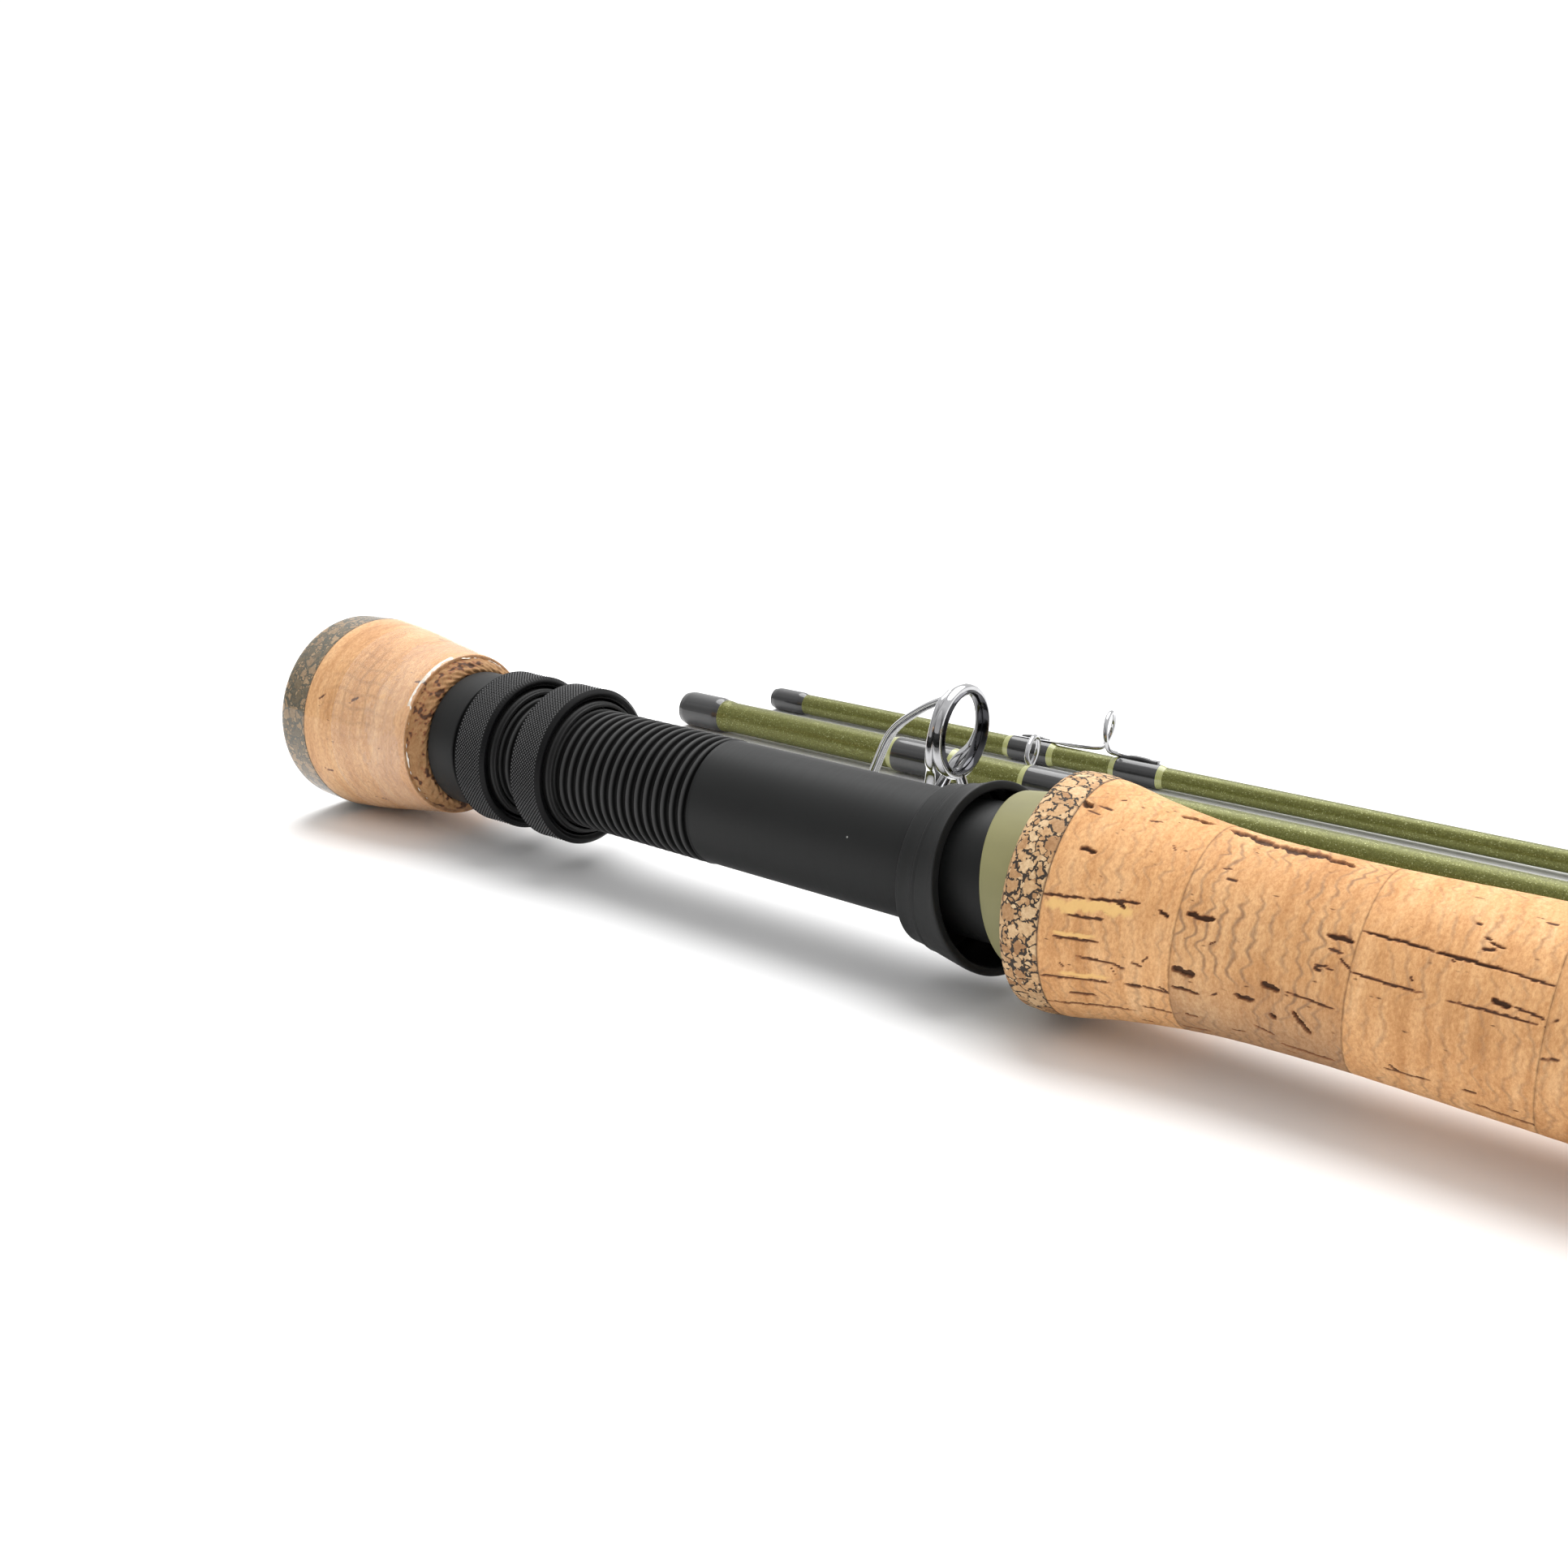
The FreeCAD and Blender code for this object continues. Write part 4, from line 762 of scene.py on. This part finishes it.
burl_x0, burl_x1 = span("grip_burl_ring")
burl_outline = [(burl_x0 + 0.05 * MM, FIXED_R + 0.05 * MM)]
burl_outline += cad_outline(burl_x0 + 0.02 * MM, burl_x1 - 0.02 * MM, GRIP_SPOTS, grip_x0)
burl_outline += [(burl_x1 - 0.01 * MM, burl_outline[-1][1] - 0.5 * MM)]
burl = lathe("grip_burl", divide(burl_outline, 0.4 * MM), 220, BURL_GRIP, sharp=60)
paint(burl, "glue", [1 - abs(burl_x1 - v.co.x) / (0.15 * MM) for v in burl.data.vertices])
stands_for(burl, "burl_cork", "grip_burl_ring")

LINES = {2: 0.85, 3: 0.5}
LIGHTS = 1.04, 1.08, 1.0, 1.06
FAR_SIDE = dict(first=math.radians(20), spread=math.radians(190))
for number in range(1, 9):
    x0, x1 = span("grip_cork_%d" % number)
    measured = number <= 3
    outline = cad_outline(x0 + 0.01 * MM, x1 - 0.01 * MM, GRIP_SPOTS, grip_x0)
    outline = [(outline[0][0], outline[0][1] - 0.4 * MM)] + outline
    outline += [(outline[-1][0], max(outline[-1][1] - 0.4 * MM, GRIP_INSIDE))]
    where = FAR_SIDE if measured else {}
    marks = slits(40 + number, 8, x0 + 1.5 * MM, x1 - 1.5 * MM, (3.0, 8.0), (0.35, 0.9), (0.2, 0.55), **where)
    marks += slits(80 + number, 24, x0 + 0.5 * MM, x1 - 0.5 * MM, (0.5, 2.0), (0.22, 0.45), (0.05, 0.25))
    filler = slits(120 + number, 2, x0 + 2 * MM, x1 - 2 * MM, (4, 8), (0.7, 1.3), (0, 0), **where)
    if measured:
        marks += placed(NEAR_SLITS, x0, x1)
        filler += placed(NEAR_FILLER, x0, x1)
    shade = cork_material("cork_ring_%d" % number, LIGHTS[number % 4], seed=2.0 * number,
                          lines=LINES.get(number, 0.45), grey=0.6 if number == 2 else 0.0)
    columns, step = (480, 0.24 * MM) if measured else (300, 0.38 * MM)
    ring = cork_piece("grip_cork_ring_%d" % number, outline, shade, marks, columns, step, filler)
    stands_for(ring, "cork", "grip_cork_%d" % number)


# ---- Blanks and wraps ----

class Section:
    """A section's axis and the taper of its blank, with its sizes in mm."""

    def __init__(self, name, start_radius, end_radius, taper_start, taper_end, **sizes):
        self.name, self.body = name, name + "_section"
        self.axis = axis_of(name + "_blank")
        self.x0, self.x1 = span(name + "_blank")
        self.ends = ((self.x0 + taper_start * MM, start_radius * MM), (self.x1 - taper_end * MM, end_radius * MM))
        vars(self).update(sizes)

    def radius(self, x):
        (x0, r0), (x1, r1) = self.ends
        t = min(max((x - x0) / (x1 - x0), 0.0), 1.0)
        return r0 + (r1 - r0) * t


BUTT_TAPER = (span("winding_check")[1] - span("butt_blank")[0]) / MM
butt = Section("butt", 6.2, 4.4, BUTT_TAPER, 54, male=3.75, male_length=52)
second = Section("second", 4.25, 3.0, 50, 48, ferrule=4.9, bore=3.8, male=2.75, male_length=46,
                 snakes=2, lean=0, feet=(20.0, 14.1), wraps=(-21.5, 2.6), reach=13.0)
third = Section("third", 3.25, 2.2, 44, 42, ferrule=3.8, bore=2.8, male=1.85, male_length=40,
                snakes=4, lean=70, feet=(25.1, 17.3), wraps=(-26.6, 3.8), reach=15.0)
tip = Section("tip", 2.25, 0.95, 38, 4, ferrule=2.55, bore=1.9, male=0,
              snakes=5, lean=13, feet=(20.3, 11.9), wraps=(-21.8, 2.4), reach=11.0)
WRAP_THICK = 0.32 * MM
BAND = 1.0 * MM


def wrap_mesh(name, section, x0, x1, radius=None, banded=True, segments=64):
    """An epoxied thread wrap with run-out ends and, if banded, a trim band at each end."""
    radius = radius or section.radius
    run = min(1.3 * MM, 0.25 * (x1 - x0))
    rise = [(run * step / 4, WRAP_THICK * (0.18 + 0.82 * math.sin(step * math.pi / 8))) for step in range(5)]
    outline = [(x0 - 0.3 * MM, radius(x0) + 0.005 * MM)]
    outline += [(x0 + along, radius(x0 + along) + up) for along, up in rise]
    outline += [(x, radius(x) + WRAP_THICK) for x in np.linspace(x0 + run, x1 - run, 7)[1:-1]]
    outline += [(x1 - along, radius(x1 - along) + up) for along, up in reversed(rise)]
    outline.append((x1 + 0.3 * MM, radius(x1) + 0.005 * MM))
    obj = lathe(name, outline, segments, [WRAP, TRIM], section.axis, sharp=60)
    for polygon in obj.data.polygons if banded else ():
        polygon.material_index = int(min(polygon.center.x - x0, x1 - polygon.center.x) <= BAND)
    return obj


def blank_outline(section):
    """Outline of a blank, from inside its female ferrule or its butt end to its male end."""
    x0, x1 = section.x0, section.x1
    (taper_x, thick), (_, thin) = section.ends
    if section is butt:
        outline = [(x0, thick - 1.4 * MM), (x0, thick), (taper_x, thick)]
    else:
        bore, sleeve = section.bore * MM, section.ferrule * MM - WRAP_THICK
        wrap_end = span(section.name + "_ferrule_wrap")[1]
        outline = [(taper_x, bore - 0.3 * MM), (taper_x, bore), (x0, bore), (x0, sleeve),
                   (wrap_end + 1.0 * MM, sleeve), (wrap_end + 2.5 * MM, thick), (taper_x, thick)]
    if not section.male:
        return outline + [(x1, thin), (x1, 0.2 * MM)]
    shoulder, male = x1 - section.male_length * MM, section.male * MM
    return outline + [(shoulder - 2 * MM, thin), (shoulder, male), (x1, male),
                      (x1, male - 0.75 * MM), (shoulder, male - 0.75 * MM)]


for section in (second, third, tip, butt):
    outline = divide(soften(blank_outline(section), 0.35 * MM, 3), 12 * MM)
    blank = lathe(section.name + "_blank_painted", outline, 96, BLANK, section.axis, sharp=50)
    stands_for(blank, "olive_blank", section.name + "_blank", body=section.body)
    if section is not butt:
        piece = wrap_mesh(section.name + "_ferrule_thread", section, *span(section.name + "_ferrule_wrap"),
                          radius=lambda x: section.ferrule * MM - WRAP_THICK, banded=False, segments=72)
        stands_for(piece, "black_wrap", section.name + "_ferrule_wrap", body=section.body)


# ---- Guides ----

def tube_along(name, points, radius, material, sides=20, flat=(1.0, 1.0)):
    """A tube swept along points, flattened by one pair of (wide, high) or by a list of them."""
    points = [Vector(p) for p in points]
    flats = flat if isinstance(flat, list) else [flat] * len(points)
    tangents = [(after - before).normalized() for before, after in
                zip(points[:1] + points[:-1], points[1:] + points[-1:])]
    normal = Vector((0, 0, 1))
    if abs(tangents[0].dot(normal)) > 0.9:
        normal = Vector((0, 1, 0))
    verts = []
    for point, tangent, (wide, high) in zip(points, tangents, flats):
        normal = (normal - tangent * normal.dot(tangent)).normalized()
        side = tangent.cross(normal)
        for k in range(sides):
            angle = TURN * k / sides
            verts.append(point + side * (math.cos(angle) * radius * wide) + normal * (math.sin(angle) * radius * high))
    end = len(verts) - sides
    faces = grid_faces(len(points), sides) + [tuple(range(sides))[::-1], tuple(range(end, end + sides))]
    return mesh_object(name, verts, faces, material, sharp=60)


def smooth_line(spots, steps):
    """Points of a Catmull-Rom curve through given spots."""
    spots = [Vector(s) for s in spots]
    padded = [spots[0] * 2 - spots[1]] + spots + [spots[-1] * 2 - spots[-2]]
    out = []
    for a, b, c, d in zip(padded, padded[1:], padded[2:], padded[3:]):
        for step in range(steps):
            t = step / steps
            out.append(0.5 * ((2 * b) + (c - a) * t + (2 * a - 5 * b + 4 * c - d) * t ** 2
                              + (3 * b - a - 3 * c + d) * t ** 3))
    out.append(spots[-1])
    return out


SNAKE_WIRE = 0.5 * MM
LOOP_STEPS, ADVANCE, LOOP_SIDE = 12, 2.4, 0.97


def lean_over(obj, section):
    """Turn a piece built upright on the X axis about its section's axis, and set it there."""
    place = Matrix.Translation((0, *section.axis))
    obj.data.transform(place @ Matrix.Rotation(-math.radians(section.lean), 4, "X"))
    return obj


def snake_guide(name, section, node):
    """A snake guide: flattened foot, one open turn of round wire, flattened foot.  Spots in mm."""
    low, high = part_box(node)
    rear, front = section.feet
    x = low.x + rear * MM
    base = section.radius(low.x - 1 * MM) + SNAKE_WIRE
    tilt = math.cos(math.radians(section.lean))
    loop = (high.z - SNAKE_WIRE - section.axis[1] - base * tilt) / (1 + tilt) / MM
    spots = [(-rear, 0, -0.25), (-rear + 4, 0, -0.15), (-10.5, 0, 0.0), (-6.2, 0, 0.2)]
    for step in range(1, LOOP_STEPS):
        angle = TURN * step / LOOP_STEPS
        along = ADVANCE * (2 * step / LOOP_STEPS - 1)
        spots.append((along, LOOP_SIDE * loop * math.sin(angle), loop * (1 - math.cos(angle))))
    spots += [(3.6, 0, 0.12), (7.0, 0, -0.05), (front, 0, -0.25)]
    line = smooth_line(spots, 8)
    points = [Vector((x + p.x * MM, p.y * MM, base + p.z * MM)) for p in line]
    foot = [min(max((abs(p.x + 0.5) - 7.0) / 5.0, 0.0), 1.0) if p.z < 0.6 else 0.0 for p in line]
    flats = [(1.0 + 0.5 * share, 1.0 - 0.55 * share) for share in foot]
    return lean_over(tube_along(name, points, SNAKE_WIRE, CHROME, 20, flats), section)


for section in (second, third, tip):
    wraps = []
    for number in range(1, section.snakes + 1):
        node = "%s_snake_%d" % (section.name, number)
        guide = snake_guide(node.replace("snake", "snake_guide"), section, node)
        stands_for(guide, "chrome", node, body=section.body)
        loop_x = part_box(node)[0].x + section.feet[0] * MM
        for start, bare in zip(section.wraps, (3.0, 1.4)):
            begin = loop_x + start * MM
            end = begin + section.reach * MM
            wraps.append(wrap_mesh("wrap", section, begin, end))
            hump = begin + bare * MM
            ridge = []
            for i in range(11):
                x = hump + (end - hump - 2 * MM) * i / 10
                rise = 0.42 * MM * math.sin(math.pi * min(max(i / 10, 0.12), 0.88))
                ridge.append((x, 0, section.radius(x) + 0.12 * MM + rise))
            wraps.append(lean_over(tube_along("hump", ridge, 0.62 * MM, [WRAP, TRIM], 16), section))
    piece = join(section.name + "_snake_threads", wraps)
    stands_for(piece, "black_wrap", section.name + "_snake_wraps", body=section.body)


def web(spots, thick):
    """A small flat plate between three or four spots, thick along X."""
    verts = [(x + half, y, z) for half in (-thick / 2, thick / 2) for x, y, z in spots]
    n = len(spots)
    faces = [tuple(range(n))[::-1], tuple(range(n, 2 * n))]
    faces += [(i, (i + 1) % n, n + (i + 1) % n, n + i) for i in range(n)]
    return mesh_object("web", verts, faces, CHROME)


def ring_guide(section, outer, hole, height, rear, front, roll=0.0):
    """A stripping guide: stamped frame with an arched strut and two legs, polished ring, wraps."""
    node_frame, node_ring = section.name + "_guide_frame", section.name + "_guide_ring"
    x = sum(span(node_ring)) / 2
    half = 0.9 * MM
    holder = soften([(-half, hole + 0.7 * MM), (-half, outer - 0.25 * MM), (-0.2 * MM, outer), (0.2 * MM, outer),
                     (half, outer - 0.25 * MM), (half, hole + 0.7 * MM)], 0.2 * MM, 3)
    pieces = [lathe("holder", holder, 96, CHROME, (0, height))]
    top = height + 0.80 * outer
    foot = section.radius(x - rear) + 0.30 * MM
    spots = [(0.3 * MM, 0, top), (-1.6 * MM, 0, top - 0.5 * MM), (-0.22 * rear, 0, top - 3.6 * MM),
             (-0.40 * rear, 0, (top + foot) / 2 + 1.6 * MM), (-0.51 * rear, 0, foot + 4.0 * MM),
             (-0.565 * rear, 0, foot + 1.2 * MM), (-0.63 * rear, 0, foot + 0.15 * MM),
             (-0.8 * rear, 0, foot), (-rear, 0, foot - 0.2 * MM)]
    line = smooth_line(spots, 7)
    shares = [i / (len(line) - 1) for i in range(len(line))]
    pieces.append(tube_along("strut", line, 0.85 * MM, CHROME, 20,
                             [(1.75 + 0.9 * max(0, 1 - 7 * t), 0.62 - 0.2 * t) for t in shares]))
    arch = smooth_line([Vector(s) - Vector((-0.35 * MM, 0, 0.55 * MM)) for s in spots[1:6]], 7)
    for side in (-0.7, 0.0, 0.7):
        pieces.append(tube_along("rib", [p + Vector((0, side * MM, 0)) for p in arch], 0.20 * MM, CHROME, 8))
    saddle = -0.7 * outer
    for hand in (-1, 1):
        def beside(x, across, up):
            """A spot by the ring: x in mm, the rest as shares of its radius."""
            return x * MM, hand * across * outer, height + up * outer

        leg = smooth_line([beside(-0.8, 0.30, 0.88), beside(-1.0, 0.68, 0.66), beside(-1.1, 0.95, 0.0),
                           beside(-1.8, 0.83, -0.50), beside(-3.4, 0.45, -0.88),
                           (saddle, hand * 0.9 * MM, foot + 0.2 * MM)], 8)
        shares = [i / (len(leg) - 1) for i in range(len(leg))]
        pieces.append(tube_along("leg", leg, 0.60 * MM, CHROME, 18,
                                 [(1.0 + 1.1 * t ** 2, 1.0 - 0.35 * t) for t in shares]))
        pieces.append(web([beside(-0.9, 0.62, 0.72), beside(-0.9, 0.15, 0.93),
                           (-3.2 * MM, hand * 0.9 * MM, top - 1.6 * MM)], 0.7 * MM))
    stub = smooth_line([(0.2 * MM, 0, height - outer + 0.3 * MM), (1.6 * MM, 0, (height - outer + foot) / 2),
                        (4.0 * MM, 0, foot + 0.1 * MM), (7.0 * MM, 0, foot), (front, 0, foot - 0.2 * MM)], 8)
    pieces.append(tube_along("stub", stub, 0.7 * MM, CHROME, 18, (1.6, 0.6)))
    toe = smooth_line([(saddle - 0.5 * MM, 0, foot), (0, 0, foot), (5 * MM, 0, foot - 0.1 * MM)], 6)
    pieces.append(tube_along("front_foot", toe, 0.8 * MM, CHROME, 18, (1.6, 0.45)))
    frame_piece = join(node_frame + "_shaped", pieces)
    half = 1.35 * MM
    insert = soften([(-half * 0.4, outer - 0.75 * MM), (-half, outer - 1.1 * MM), (-half, hole + 0.55 * MM),
                     (-0.5 * MM, hole), (0.5 * MM, hole), (half, hole + 0.55 * MM), (half, outer - 1.1 * MM),
                     (half * 0.4, outer - 0.75 * MM)], 0.5 * MM, 5)
    ring_piece = lathe(node_ring + "_polished", insert, 96, RING, (0, height), closed=True)
    for obj in (frame_piece, ring_piece):
        obj.data.transform(Matrix.Translation((x, *section.axis)) @ Matrix.Rotation(roll, 4, "X"))
    stands_for(frame_piece, "chrome", node_frame, body=section.body)
    stands_for(ring_piece, "guide_ring", node_ring, body=section.body)
    wraps = [wrap_mesh("wrap", section, x - rear - 1.5 * MM, x - 0.62 * rear),
             wrap_mesh("wrap", section, x + 5 * MM, x + front + 1.5 * MM)]
    piece = join(section.name + "_guide_threads", wraps)
    stands_for(piece, "black_wrap", section.name + "_guide_wraps", body=section.body)


ring_guide(second, 8.25 * MM, 6.35 * MM, 19 * MM, 35 * MM, 21 * MM)
butt_roll = math.acos((BUTT_Z - 10.25 * MM) / (17 * MM)) - math.pi
ring_guide(butt, 10.25 * MM, 8.0 * MM, 17 * MM, 44 * MM, 26 * MM, butt_roll)

CLEAR = Nodes("shrink_film", Roughness=0.05, Alpha=0.06, Base_Color=(0.95, 0.93, 0.9, 1), Coat_Weight=1.0).owner
for node, material in (("winding_check", BLACK), ("hook_keeper", CHROME), ("hook_keeper_wraps", WRAP),
                       ("tip_top_tube", CHROME), ("tip_top_ring", CHROME), ("butt_spigot", BLACK),
                       ("butt_end_plug", NYLON), ("seat_arbors", CORK_FACE), ("butt_shrink_film", CLEAR)):
    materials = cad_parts[node].data.materials
    materials.clear()
    materials.append(material)


# ---- Camera, floor and light ----

scene = bpy.context.scene
scene.view_settings.view_transform = "Standard"
camera_data = bpy.data.cameras.new("camera")
camera_data.sensor_width = 36.0
camera_data.lens = 37.27
camera_data.clip_start = 0.01
camera = add_object("camera", camera_data)
BARREL_MIDDLE = Vector((cork_x1 + 74.9 * MM, BUTT_Y, BUTT_Z))
camera_place = BARREL_MIDDLE + Vector((140.4, -187.7, 84.4)) * MM
back = Vector((0.582, -0.7496, 0.3157)).normalized()
up = back.cross(Vector((0.79, 0.6135, 0.0))).normalized()
right = up.cross(back).normalized()
camera.matrix_world = Matrix.Translation(camera_place) @ Matrix((right, up, back)).transposed().to_4x4()
scene.camera = camera

REACH = 6.0
paper = Nodes("floor_paper", Roughness=0.9, Specular_IOR_Level=0.1)
tone = paper.ramp(paper.noise(3, 2.0), (0.3, (0.91, 0.91, 0.91)), (0.7, (0.93, 0.93, 0.93)))
corners = [(-REACH, -REACH, 0), (REACH, -REACH, 0), (REACH, REACH, 0), (-REACH, REACH, 0)]
floor = mesh_object("floor", corners, [(0, 1, 2, 3)], paper.set(Base_Color=tone))

# The studio: white behind and above, darker in front and below, so that metal has contrast.
scene.world = bpy.data.worlds.new("studio")
sky = Nodes("studio", scene.world, Color=(1, 1, 1, 1))
place = sky.split("Generated")
rise = sky.total((place["Z"], 0.8), (place["Y"], 1.0))
sky.set(Strength=sky.levels(rise, -0.35, 0.30, 0.22, 1.05))


def sun(name, direction, strength, softness):
    """A broad soft light that shines along a direction."""
    data = bpy.data.lights.new(name, "SUN")
    data.energy, data.angle = strength, softness
    add_object(name, data).rotation_euler = Vector(direction).to_track_quat("-Z", "Y").to_euler()


sun("key", (0.1, -0.45, -1.0), 3.5, 1.0)
sun("fill", (0.35, 0.9, -0.35), 0.45, 1.2)
